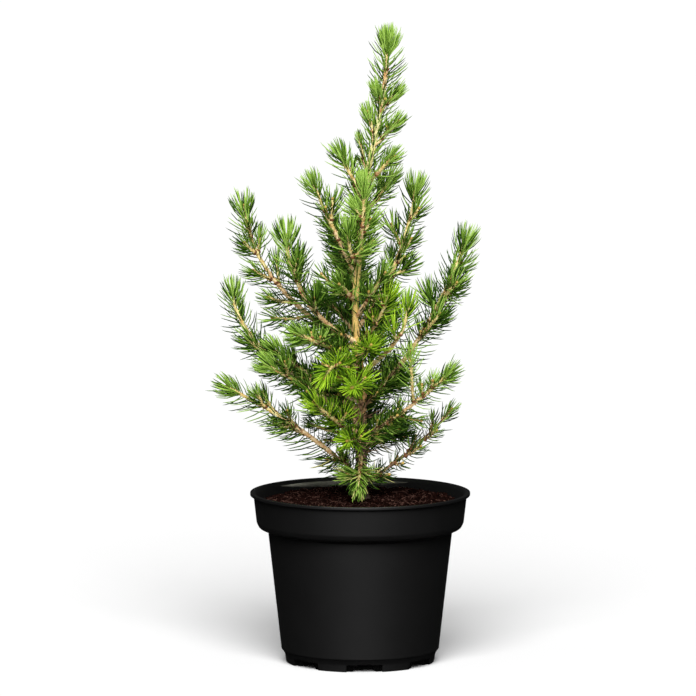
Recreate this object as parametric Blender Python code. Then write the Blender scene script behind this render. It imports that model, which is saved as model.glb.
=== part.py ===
"""Potted dwarf Alberta spruce: a young, open, cone-shaped conifer in a round nursery pot.

Lengths are in millimetres up to the last step, which writes metres. The origin is on the
floor at the pot's axis, +Z is up, and the side that faces -Y is the front.
"""

import math
import random
from collections import namedtuple

import bmesh
import bpy
import numpy as np

MM = 0.001
SEED = "spruce"
CLEAR = 0.3

# Pot: a 12 cm round nursery pot, thin walled, with a deep band under its lip
POT_HEIGHT = 93.0
POT_LIP_R = 60.0
POT_LIP_DEPTH = 1.6
POT_LIP_WIDTH = 2.5
POT_LIP_ROUND = 0.5
POT_BAND_TOP_R = 58.2
POT_BAND_FOOT_R = 56.4
POT_BAND_FOOT_Z = 76.6
POT_BODY_TOP_R = 50.3
POT_BODY_TOP_Z = 72.2
POT_BODY_FOOT_R = 43.0
POT_CREASE_Z = 7.2
POT_FOOT_R = 40.4
POT_FOOT_RING_IN_R = 33.0
POT_PAD_R = 12.4
POT_WALL = 1.4
POT_FLOOR_Z = 6.4
POT_SIDES = 40

# Drain notches: a shallow pocket in the foot ring, with a narrower gap right through it, and
# a drain hole in the floor behind each
NOTCHES = 7
NOTCH_TURN = -86.7
NOTCH_HEIGHT = 4.1
GAP_TOP_WIDTH = 7.2
GAP_FLOOR_WIDTH = 12.8
POCKET_WIDTH = 19.3
POCKET_HEIGHT = 3.9
POCKET_DEPTH = 1.9
DRAIN_R = 2.6
DRAIN_RING_R = 27.0
DRAIN_SIDES = 8
CUT_PAST = 1.5

# Potting soil: fills the pot to a little under the lip, with a low dome
SOIL_EDGE_Z = 88.6
SOIL_DOME = 1.4
SOIL_RINGS = (49.0, 38.0, 26.0, 15.0)
SOIL_FLAT_R = 7.0
SOIL_LUMP = 0.7
SOIL_WALL_GAP = 0.5

# Trunk: height, sideways lean, forward lean and radius at each bend
Bend = namedtuple("Bend", "height x y radius")
TRUNK_FOOT_Z = SOIL_EDGE_Z + SOIL_DOME + CLEAR
TRUNK_TIP_Z = 313.0
TRUNK_BENDS = (
    Bend(TRUNK_FOOT_Z, 0.5, 0.0, 4.3),
    Bend(96.0, 0.5, 0.1, 3.0),
    Bend(127.0, 0.6, 0.5, 2.5),
    Bend(149.0, 1.0, 0.0, 2.2),
    Bend(168.0, -0.8, -1.0, 1.9),
    Bend(188.0, -2.6, -0.5, 1.75),
    Bend(209.0, -2.0, 0.6, 1.7),
    Bend(226.0, -0.4, 1.0, 1.65),
    Bend(248.0, 1.8, 0.6, 1.35),
    Bend(267.0, 3.8, 0.0, 1.3),
    Bend(281.0, 6.8, -0.6, 1.25),
    Bend(297.0, 10.0, -1.0, 1.1),
    Bend(TRUNK_TIP_Z, 12.8, -0.4, 1.0),
)
TRUNK_SIDES = 10
TRUNK_STEPS = 23
FLARE_RINGS = (0.0, 1.5, 3.5)
FLARE_TOP = 6.5

# Shoots: each leaves the trunk at a height and heading (degrees from +X towards +Y), swings
# round by `swing` and rises from `rise` to `tip_rise`, the later the larger `bend` is. The
# first `bare` share of it is a bough of its own, and the rest is a mass of needles with
# `sides` side shoots, the longest of them `side_length`.
Shoot = namedtuple(
    "Shoot", "height heading swing length rise tip_rise bend bare sides side_length"
)
SHOOTS = {
    "low_left": Shoot(100.5, 187, 0, 92, 43, 27, 1, 0.24, 4, 21),
    "outer_left": Shoot(137.0, 175, 0, 103, 28, 89, 3, 0.30, 4, 20),
    "tall_left": Shoot(170.0, 167, -2, 107, 33, 86, 2, 0.30, 5, 21),
    "front_left": Shoot(175.5, 199, 1, 78, 23, 88, 1, 0.22, 3, 17),
    "shelf_left": Shoot(129.0, 197, 0, 67, 40, 27, 1, 0.26, 3, 19),
    "low_right": Shoot(97.5, 6, 0, 66, 28, 50, 1, 0.25, 3, 17),
    "forked_right": Shoot(122.5, 341, 0, 67, 30, 44, 1, 0.45, 1, 14),
    "big_right": Shoot(139.0, 354, 0, 111, 45, 72, 1, 0.30, 5, 21),
    "inner_right": Shoot(182.0, 23, 1, 87, 48, 82, 1, 0.26, 4, 16),
    "pale_right": Shoot(158.5, 317, 0, 58, 31, 84, 2, 0.42, 1, 13),
    "tall_rear": Shoot(160.0, 100, 0, 86, 32, 72, 1, 0.24, 5, 21),
    "upper_shelf": Shoot(141.5, 184, 0, 60, 26, 38, 1, 0.0, 3, 15),
    "low_front_left": Shoot(164.0, 221, 0, 52, 27, 20, 1, 0.0, 2, 15),
    "droop": Shoot(161.0, 243, 2, 48, 17, -33, 2, 0.0, 1, 13),
    "star_front": Shoot(153.0, 262, 0, 40, 8, -1, 1, 0.0, 2, 14),
    "star_left": Shoot(125.0, 235, 0, 52, 17, 36, 1, 0.0, 3, 15),
    "star_low": Shoot(120.0, 256, 0, 34, 16, 3, 1, 0.0, 2, 13),
    "foot_front": Shoot(115.0, 266, 0, 33, -34, -36, 1, 0.0, 1, 12),
    "short_right": Shoot(188.5, 317, 0, 36, 48, 53, 1, 0.0, 1, 12),
    "short_low_right": Shoot(173.0, 329, 0, 39, 44, 68, 1, 0.0, 1, 13),
    "small_front": Shoot(166.5, 284, 0, 30.5, 17, 26, 1, 0.0, 1, 12),
    "upper_left": Shoot(211.0, 195, 0, 59, 63, 66, 1, 0.0, 2, 15),
    "upper_left_small": Shoot(251.0, 166, 0, 32, 65, 62, 1, 0.0, 0, 0),
    "front_up": Shoot(223.5, 281, 0, 45, 52, 86, 1, 0.0, 2, 12),
    "knob_left": Shoot(219.0, 253, 1, 32, 5, 88, 1, 0.0, 0, 0),
    "knob_low_left": Shoot(197.5, 249, 0, 29, 29, 24, 1, 0.0, 1, 12),
    "rear_left": Shoot(179.5, 123, 0, 42, 33, 22, 1, 0.0, 2, 15),
    "rear_mid_left": Shoot(133.0, 140, 0, 56, 24, 22, 1, 0.0, 3, 16),
    "rear_low_left": Shoot(121.5, 140, 0, 40, 9, 8, 1, 0.0, 2, 14),
    "rear_low_right": Shoot(119.0, 47, 0, 35, 5, 23, 1, 0.0, 2, 14),
    "rear_mid_right": Shoot(146.5, 55, 0, 42, 3, 14, 1, 0.0, 2, 15),
    "rear_foot": Shoot(108.0, 84, 0, 60, 22, 42, 1, 0.0, 3, 17),
    "rear_mid": Shoot(127.0, 104, 0, 70, 28, 52, 1, 0.0, 3, 18),
    "rear_right": Shoot(150.0, 74, 0, 74, 30, 62, 1, 0.0, 4, 18),
    "rear_upper": Shoot(188.0, 88, 0, 56, 44, 74, 1, 0.0, 2, 15),
    "rear_high_left": Shoot(206.0, 128, 0, 38, 50, 66, 1, 0.0, 1, 13),
    "rear_high": Shoot(230.0, 96, 0, 34, 52, 66, 1, 0.0, 1, 12),
    "crown_rear_right": Shoot(244.0, 45, 0, 33, 40, 44, 1, 0.0, 1, 12),
    "crown_right": Shoot(259.5, 321, 0, 29, 48, 38, 1, 0.0, 0, 0),
    "crown_rear": Shoot(268.0, 112, 0, 24, 50, 62, 1, 0.0, 0, 0),
    "top_right": Shoot(282.0, 347, 0, 21.5, 44, 48, 1, 0.0, 0, 0),
    "top_left": Shoot(283.5, 222, 0, 20, 83, 68, 1, 0.0, 0, 0),
    "tip_right": Shoot(300.5, 331, 0, 18.5, 56, 39, 1, 0.0, 0, 0),
    "tip_left": Shoot(304.0, 232, 0, 13, 60, 66, 1, 0.0, 0, 0),
}
LEADER = Shoot(TRUNK_TIP_Z + CLEAR, 5, 0, 28, 82, 89, 1, 0.0, 0, 0)
MASSES = dict(SHOOTS, leader=LEADER)

# Side shoots that the plant clearly has: share along the shoot, turn from its heading (to
# the left is positive), rise and length
Fork = namedtuple("Fork", "share turn rise length")
FORKS = {
    "forked_right": (Fork(0.56, -81, 58, 34),),
    "low_left": (Fork(0.72, 35, 40, 14), Fork(0.50, -20, 0, 15)),
    "outer_left": (Fork(0.62, 20, 25, 14),),
    "tall_left": (Fork(0.42, 28, 2, 17), Fork(0.58, 30, 15, 15), Fork(0.74, 35, 30, 12)),
    "inner_right": (Fork(0.40, -25, 22, 15), Fork(0.62, 150, 55, 15)),
    "big_right": (Fork(0.50, -40, 30, 18), Fork(0.62, 140, 48, 12), Fork(0.82, 30, 40, 10)),
    "low_right": (Fork(0.42, -30, 20, 14),),
    "foot_front": (Fork(0.16, 25, -44, 26),),
    "upper_left": (Fork(0.58, 160, 84, 15),),
}

# Boughs and twigs: a long shoot has a slightly thicker root
BOUGH_R = 1.7
BOUGH_SIDES = 6
BOUGH_STEP = 7.0
BOUGH_LEAST_STEPS = 3
TWIG_R = 1.15
TWIG_TIP_R = 0.75
TWIG_LONG_EXTRA_R = 0.2
LONG_SHOOT = 100
STATION = 4.0
BUD = 2.4
PATH_STEPS = 60
ARC_FINENESS = 8

# Side shoots: where the first may stand, how far they spread along the shoot, how their
# length falls towards its tip, and how far they keep from one another
SIDE_FIRST = 0.14
SIDE_SPAN = 0.66
SIDE_JITTER = (0.2, 0.8)
SIDE_LIMITS = (0.05, 0.9)
SIDE_FALL = (1.15, 0.6)
SIDE_LENGTH_SPREAD = (0.85, 1.1)
SIDE_R_SHARE = 0.85
SIDE_ANGLE = 50.0
SIDE_ANGLE_SPREAD = 8
SIDE_ROLL = 35.0
SIDE_CLIMB = 20.0
SIDE_STEEPEST = 88.0
TWIG_SPACING = 3.0
SIBLING_SPACING = 5
TWIG_LOWEST_Z = POT_HEIGHT + 2

# Needles: larger and fewer than life, each raised from one facet of a three-sided twig
NEEDLE = 12.0
NEEDLE_SPREAD = 0.12
NEEDLE_TIP_SHORTER = 0.04
NEEDLE_ROOT_R = 1.1
NEEDLE_TIP_R = 0.15
NEEDLE_LOWEST_Z = POT_HEIGHT - 2
LEAN_ROOT = 62.0
LEAN_TIP = 42.0
LEAN_BUD = 24.0
LEAN_SPREAD = 5
SKEW = 0.14
NEEDLE_GAP = CLEAR + 0.1
OWN_GAP = 0.1
TWIG_SIDES = 3

# Owners of limbs that belong to no mass
TRUNK = -1
WOOD = -2

Limb = namedtuple("Limb", "mass path aims radii is_side")


# Scene and materials
def clear_scene():
    for obj in list(bpy.data.objects):
        bpy.data.objects.remove(obj, do_unlink=True)
    for mesh in list(bpy.data.meshes):
        bpy.data.meshes.remove(mesh)


def plain_material(name, colour, roughness):
    material = bpy.data.materials.new(name)
    material.use_nodes = True
    shader = material.node_tree.nodes["Principled BSDF"]
    shader.inputs["Base Color"].default_value = (*colour, 1.0)
    shader.inputs["Roughness"].default_value = roughness
    shader.inputs["Metallic"].default_value = 0.0
    return material


def pot_plastic():
    return plain_material("pot_plastic", (0.012, 0.012, 0.013), 0.5)


def potting_soil():
    return plain_material("potting_soil", (0.018, 0.009, 0.006), 0.95)


def bark():
    return plain_material("bark", (0.42, 0.27, 0.13), 0.8)


def needle_green():
    return plain_material("needle_green", (0.10, 0.22, 0.05), 0.6)


# Meshes, Booleans and collections
def mesh_object(name, points, faces, material, collection=None):
    """A mesh object in metres, made from points in millimetres."""
    mesh = bpy.data.meshes.new(name)
    mesh.from_pydata([tuple(float(v) * MM for v in p) for p in points], [], faces)
    mesh.materials.append(material)
    mesh.validate()
    obj = bpy.data.objects.new(name, mesh)
    (collection or bpy.context.scene.collection).objects.link(obj)
    return obj


def hidden(obj):
    obj.hide_render = True
    obj.display_type = "WIRE"
    return obj


def new_collection(name):
    collection = bpy.data.collections.new(name)
    bpy.context.scene.collection.children.link(collection)
    return collection


def remove_collection(collection):
    for obj in list(collection.objects):
        bpy.data.objects.remove(obj, do_unlink=True)
    bpy.data.collections.remove(collection)


def is_closed(mesh):
    form = bmesh.new()
    form.from_mesh(mesh)
    closed = all(len(edge.link_faces) == 2 for edge in form.edges)
    form.free()
    return closed


def boolean_mesh(obj, operation, other, solver):
    """The mesh that a Boolean with an object or a collection gives."""
    modifier = obj.modifiers.new(operation.lower(), "BOOLEAN")
    modifier.operation = operation
    modifier.solver = solver
    if isinstance(other, bpy.types.Collection):
        modifier.operand_type = "COLLECTION"
        modifier.collection = other
    else:
        modifier.object = other
    graph = bpy.context.evaluated_depsgraph_get()
    result = bpy.data.meshes.new_from_object(obj.evaluated_get(graph))
    obj.modifiers.remove(modifier)
    return result


def apply_boolean(obj, operation, other):
    """Joins or cuts obj, and keeps only the result. The second solver steps in where the
    first leaves an open edge."""
    result = boolean_mesh(obj, operation, other, "EXACT")
    if not is_closed(result):
        bpy.data.meshes.remove(result)
        result = boolean_mesh(obj, operation, other, "MANIFOLD")
    old = obj.data
    obj.data = result
    bpy.data.meshes.remove(old)


def bodies_of(form):
    """The faces of a mesh in groups that hang together by shared edges."""
    left = set(form.faces)
    bodies = []
    while left:
        body = [left.pop()]
        for face in body:
            for edge in face.edges:
                if len(edge.link_faces) != 2:
                    continue
                for other in edge.link_faces:
                    if other in left:
                        left.discard(other)
                        body.append(other)
        bodies.append(body)
    return bodies


def keep_main_body(obj):
    """Drops loose scraps and sealed hollows: only the body with the largest skin stays."""
    form = bmesh.new()
    form.from_mesh(obj.data)
    bmesh.ops.triangulate(form, faces=form.faces[:])
    bodies = sorted(bodies_of(form), key=lambda body: -sum(face.calc_area() for face in body))
    scraps = [face for body in bodies[1:] for face in body]
    if scraps:
        bmesh.ops.delete(form, geom=scraps, context="FACES")
    form.to_mesh(obj.data)
    form.free()


# Shapes from profiles, rings and paths
def unit(vectors):
    return vectors / np.linalg.norm(vectors, axis=-1, keepdims=True)


def pick_along(at, points):
    """Rows of an array read at fractional places, by straight lines between the rows."""
    rows = range(len(points))
    return np.stack([np.interp(at, rows, points[:, k]) for k in range(3)], axis=-1)


def lathe(profile, sides):
    """Points and faces of a closed body turned about Z. The profile runs from the axis back
    to the axis, anticlockwise in the (radius, height) plane."""
    rings = profile[1:-1]
    points = [(0.0, 0.0, profile[0][1]), (0.0, 0.0, profile[-1][1])]
    for radius, z in rings:
        for k in range(sides):
            angle = 2 * math.pi * k / sides
            points.append((radius * math.cos(angle), radius * math.sin(angle), z))
    faces = []
    last = 2 + (len(rings) - 1) * sides
    for k in range(sides):
        after = (k + 1) % sides
        faces.append((0, 2 + after, 2 + k))
        faces.append((1, last + k, last + after))
        for i in range(len(rings) - 1):
            a = 2 + i * sides
            b = a + sides
            faces.append((a + k, a + after, b + after, b + k))
    return points, faces


def ringed(rings):
    """Points and faces of a closed body with flat ends. Each ring has the same number of
    points and runs anticlockwise round the way on to the next."""
    sides = len(rings[0])
    points = [point for ring in rings for point in ring]
    faces = [tuple(reversed(range(sides)))]
    for i in range(len(rings) - 1):
        a = i * sides
        b = a + sides
        for k in range(sides):
            after = (k + 1) % sides
            faces.append((a + k, a + after, b + after, b + k))
    faces.append(tuple(range(len(points) - sides, len(points))))
    return points, faces


def frame_at(direction):
    """Two unit vectors across a direction: one level, to the left of its heading, one up."""
    heading = math.atan2(direction[1], direction[0])
    side = np.array([-math.sin(heading), math.cos(heading), 0.0])
    side = unit(side - direction * (side @ direction))
    return side, np.cross(direction, side)


def ring_across(centre, direction, radius, sides, phase=0.0):
    """Points of a ring that faces along a direction."""
    side, up = frame_at(direction)
    angles = [math.radians(phase) + 2 * math.pi * k / sides for k in range(sides)]
    return [centre + radius * (math.cos(a) * side + math.sin(a) * up) for a in angles]


def level_ring(centre, radius, sides):
    angles = [2 * math.pi * k / sides for k in range(sides)]
    return [centre + [radius * math.cos(a), radius * math.sin(a), 0.0] for a in angles]


def arc(start, heading, swing, length, rise, tip_rise, bend, count):
    """Points along a shoot, evenly spaced, and its direction at each."""
    steps = count * ARC_FINENESS
    share = (np.arange(steps) + 0.5) / steps
    turn = np.radians(heading + swing * share)
    lift = np.radians(rise + (tip_rise - rise) * share**bend)
    level = np.cos(lift)
    step = np.stack([np.cos(turn) * level, np.sin(turn) * level, np.sin(lift)], axis=1)
    path = np.vstack([start, start + np.cumsum(step, axis=0) * length / steps])
    return path[::ARC_FINENESS], np.vstack([step[::ARC_FINENESS], step[-1]])


# Pot
def pot_outside():
    """Radius and height of the underside and outer wall, from the axis out and up."""
    step_rise = POT_BAND_FOOT_Z - POT_BODY_TOP_Z
    step_out = POT_BAND_FOOT_R - POT_BODY_TOP_R
    lip_z = POT_HEIGHT - POT_LIP_DEPTH
    return [
        (0.0, 0.0),
        (POT_PAD_R, 0.0),
        (POT_PAD_R + 0.6, NOTCH_HEIGHT),
        (POT_FOOT_RING_IN_R - 0.6, NOTCH_HEIGHT),
        (POT_FOOT_RING_IN_R, 0.0),
        (POT_FOOT_R, 0.0),
        (POT_FOOT_R + 0.7, 4.3),
        (POT_BODY_FOOT_R, POT_CREASE_Z),
        (POT_BODY_TOP_R, POT_BODY_TOP_Z),
        (POT_BODY_TOP_R + 0.72 * step_out, POT_BODY_TOP_Z + 0.33 * step_rise),
        (POT_BODY_TOP_R + 0.92 * step_out, POT_BODY_TOP_Z + 0.62 * step_rise),
        (POT_BAND_FOOT_R, POT_BAND_FOOT_Z),
        (POT_BAND_TOP_R, lip_z),
        (POT_LIP_R - 0.3, lip_z + 0.1),
        (POT_LIP_R, lip_z + POT_LIP_ROUND),
        (POT_LIP_R, POT_HEIGHT - POT_LIP_ROUND),
        (POT_LIP_R - POT_LIP_ROUND, POT_HEIGHT),
        (POT_LIP_R - POT_LIP_WIDTH + POT_LIP_ROUND, POT_HEIGHT),
        (POT_LIP_R - POT_LIP_WIDTH, POT_HEIGHT - POT_LIP_ROUND),
    ]


def pot_inside():
    """Radius and height of the inner wall, from the lip down to the floor."""
    return [
        (POT_BAND_TOP_R - POT_WALL, POT_HEIGHT - POT_LIP_DEPTH),
        (POT_BAND_FOOT_R - POT_WALL, POT_BAND_FOOT_Z - 0.8),
        (POT_BODY_TOP_R - POT_WALL + 0.1, POT_BODY_TOP_Z + 0.6),
        (POT_BODY_FOOT_R - POT_WALL + 0.2, POT_FLOOR_Z + 1.8),
        (POT_BODY_FOOT_R - 2 * POT_WALL, POT_FLOOR_Z),
    ]


def prism_out(angle, reaches, profile):
    """A prism that runs level from the axis outwards, between two reaches. Its profile is
    points of (sideways, height), anticlockwise as seen from outside the pot."""
    out = np.array([math.cos(angle), math.sin(angle), 0.0])
    side = np.array([-math.sin(angle), math.cos(angle), 0.0])
    rings = [[out * reach + side * across + [0, 0, z] for across, z in profile] for reach in reaches]
    return ringed(rings)


def gap_profile():
    """Narrower at the top, and carried on below the floor at the same slope."""
    slope = (GAP_FLOOR_WIDTH - GAP_TOP_WIDTH) / 2 / NOTCH_HEIGHT
    low = GAP_FLOOR_WIDTH / 2 + slope * CUT_PAST
    top = GAP_TOP_WIDTH / 2
    return [(-low, -CUT_PAST), (low, -CUT_PAST), (top, NOTCH_HEIGHT), (-top, NOTCH_HEIGHT)]


def pocket_profile():
    half = POCKET_WIDTH / 2
    return [(-half, -CUT_PAST), (half, -CUT_PAST), (half, POCKET_HEIGHT), (-half, POCKET_HEIGHT)]


def drain_rod(angle):
    centre = np.array([math.cos(angle), math.sin(angle), 0.0]) * DRAIN_RING_R
    heights = (NOTCH_HEIGHT - CUT_PAST, POT_FLOOR_Z + CUT_PAST)
    return ringed([level_ring(centre + [0, 0, z], DRAIN_R, DRAIN_SIDES) for z in heights])


def notch_cutters(collection, material):
    outside = POT_BODY_FOOT_R + CUT_PAST
    for i in range(NOTCHES):
        angle = math.radians(NOTCH_TURN + i * 360 / NOTCHES)
        gap = prism_out(angle, (POT_FOOT_RING_IN_R - CUT_PAST, outside), gap_profile())
        pocket = prism_out(angle, (POT_FOOT_R - POCKET_DEPTH, outside + CUT_PAST), pocket_profile())
        for name, shape in (("gap", gap), ("pocket", pocket), ("drain", drain_rod(angle))):
            hidden(mesh_object(f"{name}_{i}", *shape, material, collection))


def make_pot():
    material = pot_plastic()
    profile = pot_outside() + pot_inside() + [(0.0, POT_FLOOR_Z)]
    pot = mesh_object("pot", *lathe(profile, POT_SIDES), material)
    cutters = new_collection("pot_cutters")
    notch_cutters(cutters, material)
    apply_boolean(pot, "DIFFERENCE", cutters)
    remove_collection(cutters)
    return pot


# Soil
def soil_edge_radius():
    """The pot's inner radius at the height of the soil's edge, less a gap."""
    band = POT_HEIGHT - POT_LIP_DEPTH - POT_BAND_FOOT_Z
    share = (SOIL_EDGE_Z - POT_BAND_FOOT_Z) / band
    outer = POT_BAND_FOOT_R + share * (POT_BAND_TOP_R - POT_BAND_FOOT_R)
    return outer - POT_WALL - SOIL_WALL_GAP


def make_soil():
    """Soil a little clear of the pot, level under the trunk and lumpy elsewhere."""
    rng = random.Random(SEED + "soil")
    wall = [(r - CLEAR, z) for r, z in reversed(pot_inside()[1:])]
    wall[0] = (wall[0][0], wall[0][1] + CLEAR)
    edge_r = soil_edge_radius()
    top_z = SOIL_EDGE_Z + SOIL_DOME
    dome = [(r, SOIL_EDGE_Z + SOIL_DOME * (1 - (r / edge_r) ** 2)) for r in SOIL_RINGS]
    level = [(SOIL_FLAT_R, top_z), (0.0, top_z)]
    profile = [(0.0, POT_FLOOR_Z + CLEAR)] + wall + [(edge_r, SOIL_EDGE_Z)] + dome + level
    points, faces = lathe(profile, POT_SIDES)
    first = 2 + (len(wall) + 1) * POT_SIDES
    for i in range(first, first + len(dome) * POT_SIDES):
        x, y, z = points[i]
        points[i] = (x, y, min(z + rng.uniform(-SOIL_LUMP, SOIL_LUMP), top_z))
    return mesh_object("soil", points, faces, potting_soil())


# Trunk
def smooth(values, heights, z):
    """Value at a height, eased between the bends so that the trunk has no corners."""
    i = int(np.clip(np.searchsorted(heights, z) - 1, 0, len(heights) - 2))
    slopes = np.gradient(values, heights)
    width = heights[i + 1] - heights[i]
    t = (z - heights[i]) / width
    return (
        values[i] * (1 + 2 * t) * (1 - t) ** 2
        + slopes[i] * width * t * (1 - t) ** 2
        + values[i + 1] * t**2 * (3 - 2 * t)
        + slopes[i + 1] * width * t**2 * (t - 1)
    )


def trunk_at(z):
    """Centre and radius of the trunk at a height."""
    bends = np.array(TRUNK_BENDS, dtype=float)
    x = smooth(bends[:, 1], bends[:, 0], z)
    y = smooth(bends[:, 2], bends[:, 0], z)
    return np.array([x, y, z]), float(np.interp(z, bends[:, 0], bends[:, 3]))


def trunk_heights():
    flare = [TRUNK_FOOT_Z + rise for rise in FLARE_RINGS]
    return flare + list(np.linspace(TRUNK_FOOT_Z + FLARE_TOP, TRUNK_TIP_Z, TRUNK_STEPS))


def trunk_shape(grown, overrun):
    """The trunk as level rings, grown outwards and past both ends by the given lengths."""
    sections = [trunk_at(z) for z in trunk_heights()]
    centres = [centre for centre, _ in sections]
    centres[0] = centres[0] - [0, 0, overrun]
    centres[-1] = centres[-1] + [0, 0, overrun]
    radii = [radius + grown for _, radius in sections]
    return ringed([level_ring(c, r, TRUNK_SIDES) for c, r in zip(centres, radii)])


def make_trunk():
    return mesh_object("trunk", *trunk_shape(0.0, 0.0), bark())


# Where things are: limbs and needles as tapering rods that keep clear of one another
class Space:
    """Rods already placed, each from a to b with its radii, its mass and its twig."""

    def __init__(self):
        self.rows = []
        self.table = np.zeros((0, 10))

    def add(self, a, b, ra, rb, mass, twig):
        self.rows.append([*a, *b, ra, rb, mass, twig])

    def add_limb(self, path, radii, mass, twig):
        for a, b, ra, rb in zip(path, path[1:], radii, radii[1:]):
            self.add(a, b, ra, rb, mass, twig)

    def settle(self):
        """Makes the table of rows that gap and the masks read."""
        self.table = np.array(self.rows, dtype=float)

    def in_mass(self, mass):
        return self.table[:, 8] == mass

    def in_twig(self, twig):
        return self.table[:, 9] == twig

    def gap(self, a, b, ra, rb, among):
        """Smallest gap from this rod to the placed rods that the mask picks: the distance
        between the nearest points of the middle lines, less both radii there."""
        rods = self.table[among]
        if not len(rods):
            return math.inf
        d1 = b - a
        d2 = rods[:, 3:6] - rods[:, 0:3]
        between = a - rods[:, 0:3]
        len1 = d1 @ d1
        len2 = (d2 * d2).sum(axis=1)
        across = d2 @ d1
        along1 = between @ d1
        along2 = (between * d2).sum(axis=1)
        spread = np.maximum(len1 * len2 - across**2, 1e-9)
        s = np.clip((across * along2 - along1 * len2) / spread, 0, 1)
        t = np.clip((across * s + along2) / len2, 0, 1)
        s = np.clip((across * t - along1) / len1, 0, 1)
        apart = between + s[:, None] * d1 - t[:, None] * d2
        thick = ra + (rb - ra) * s + rods[:, 6] + (rods[:, 7] - rods[:, 6]) * t
        return float((np.linalg.norm(apart, axis=1) - thick).min())


# Boughs and main stems
def stations(length):
    return max(2, round((length - BUD) / STATION))


def shoot_path(shoot, start, share=0.0):
    """A shoot's path and directions from a share of its length to the tip, less the bud."""
    path, aims = arc(
        start, shoot.heading, shoot.swing, shoot.length - BUD,
        shoot.rise, shoot.tip_rise, shoot.bend, PATH_STEPS,
    )
    at = np.linspace(share * PATH_STEPS, PATH_STEPS, stations(shoot.length * (1 - share)) + 1)
    return pick_along(at, path), unit(pick_along(at, aims))


def shoot_start(shoot):
    if shoot is LEADER:
        return trunk_at(TRUNK_TIP_Z)[0] + [0, 0, CLEAR]
    return trunk_at(shoot.height)[0]


def root_radius(shoot):
    return TWIG_R + TWIG_LONG_EXTRA_R * min(shoot.length, LONG_SHOOT) / LONG_SHOOT


def plan_boughs():
    """The bare first share of each shoot that has one."""
    boughs = {}
    for name, shoot in MASSES.items():
        if not shoot.bare:
            continue
        path, aims = shoot_path(shoot, shoot_start(shoot))
        steps = max(BOUGH_LEAST_STEPS, round(shoot.length * shoot.bare / BOUGH_STEP))
        at = np.linspace(0, shoot.bare * (len(path) - 1), steps + 1)
        radii = np.linspace(BOUGH_R, root_radius(shoot), steps + 1)
        boughs[name] = Limb(WOOD, pick_along(at, path), unit(pick_along(at, aims)), radii, False)
    return boughs


def plan_mains():
    """The stem of each mass, which starts a clear gap past its bough where it has one."""
    mains = []
    for number, shoot in enumerate(MASSES.values()):
        share = shoot.bare + CLEAR / shoot.length if shoot.bare else 0.0
        path, aims = shoot_path(shoot, shoot_start(shoot), share)
        radii = np.linspace(root_radius(shoot), TWIG_TIP_R, len(path))
        mains.append(Limb(number, path, aims, radii, False))
    return mains


# Side shoots by the seeded rule
def side_arc(start, direction, length):
    """A side shoot that leaves in a direction and turns upwards."""
    heading = math.degrees(math.atan2(direction[1], direction[0]))
    rise = math.degrees(math.asin(float(np.clip(direction[2], -1, 1))))
    tip_rise = min(rise + SIDE_CLIMB, max(SIDE_STEEPEST, rise))
    return arc(start, heading, 0, length - BUD, rise, tip_rise, 1, stations(length))


def fork_direction(shoot, fork):
    heading = math.radians(shoot.heading + fork.turn)
    rise = math.radians(fork.rise)
    level = math.cos(rise)
    return np.array([math.cos(heading) * level, math.sin(heading) * level, math.sin(rise)])


def side_direction(direction, rng, left):
    """A direction at SIDE_ANGLE from the shoot, to one side of it."""
    side, up = frame_at(direction)
    roll = math.radians(rng.uniform(-SIDE_ROLL, SIDE_ROLL))
    angle = math.radians(SIDE_ANGLE + rng.uniform(-SIDE_ANGLE_SPREAD, SIDE_ANGLE_SPREAD))
    across = math.cos(roll) * side * (1 if left else -1) - math.sin(roll) * up
    return math.cos(angle) * direction + math.sin(angle) * across


def wanted_sides(name, shoot, main):
    """Share, direction and length of each side shoot: the named forks, then the rule's own,
    to the left and right in turn."""
    rng = random.Random(f"{SEED}-{name}")
    for fork in FORKS.get(name, ()):
        share = (fork.share - shoot.bare) / (1 - shoot.bare)
        yield share, fork_direction(shoot, fork), fork.length
    left = rng.random() < 0.5
    for k in range(shoot.sides):
        share = SIDE_FIRST + SIDE_SPAN * (k + rng.uniform(*SIDE_JITTER)) / shoot.sides
        i = min(int(share * (len(main.path) - 1)), len(main.path) - 2)
        direction = side_direction(main.aims[i], rng, left)
        fall = SIDE_FALL[0] - SIDE_FALL[1] * share
        yield share, direction, shoot.side_length * fall * rng.uniform(*SIDE_LENGTH_SPREAD)
        left = not left


def is_crowded(path, radii, number, space, siblings):
    """Whether a side shoot comes too near a limb of another mass or one of its siblings."""
    others = ~space.in_mass(number)
    gaps = [space.gap(a, b, r, r, others) for a, b, r in zip(path, path[1:], radii)]
    if min(gaps) < TWIG_SPACING:
        return True
    apart = [np.linalg.norm(limb.path[1:, None] - path[None, 1:], axis=2).min() for limb in siblings]
    return min(apart, default=math.inf) < SIBLING_SPACING


def plan_sides(mains, space):
    """Side shoots that stay above the pot and aren't crowded, added to the space in turn."""
    sides = []
    for number, (name, shoot) in enumerate(MASSES.items()):
        main = mains[number]
        siblings = []
        for share, direction, length in wanted_sides(name, shoot, main):
            at = float(np.clip(share, *SIDE_LIMITS)) * (len(main.path) - 1)
            path, aims = side_arc(pick_along(at, main.path), direction, length)
            radii = np.linspace(TWIG_R * SIDE_R_SHARE, TWIG_TIP_R, len(path))
            if path[:, 2].min() < TWIG_LOWEST_Z or is_crowded(path, radii, number, space, siblings):
                continue
            space.add_limb(path, radii, number, len(mains) + len(sides))
            space.settle()
            siblings.append(Limb(number, path, aims, radii, True))
            sides.append(siblings[-1])
    return sides


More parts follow.
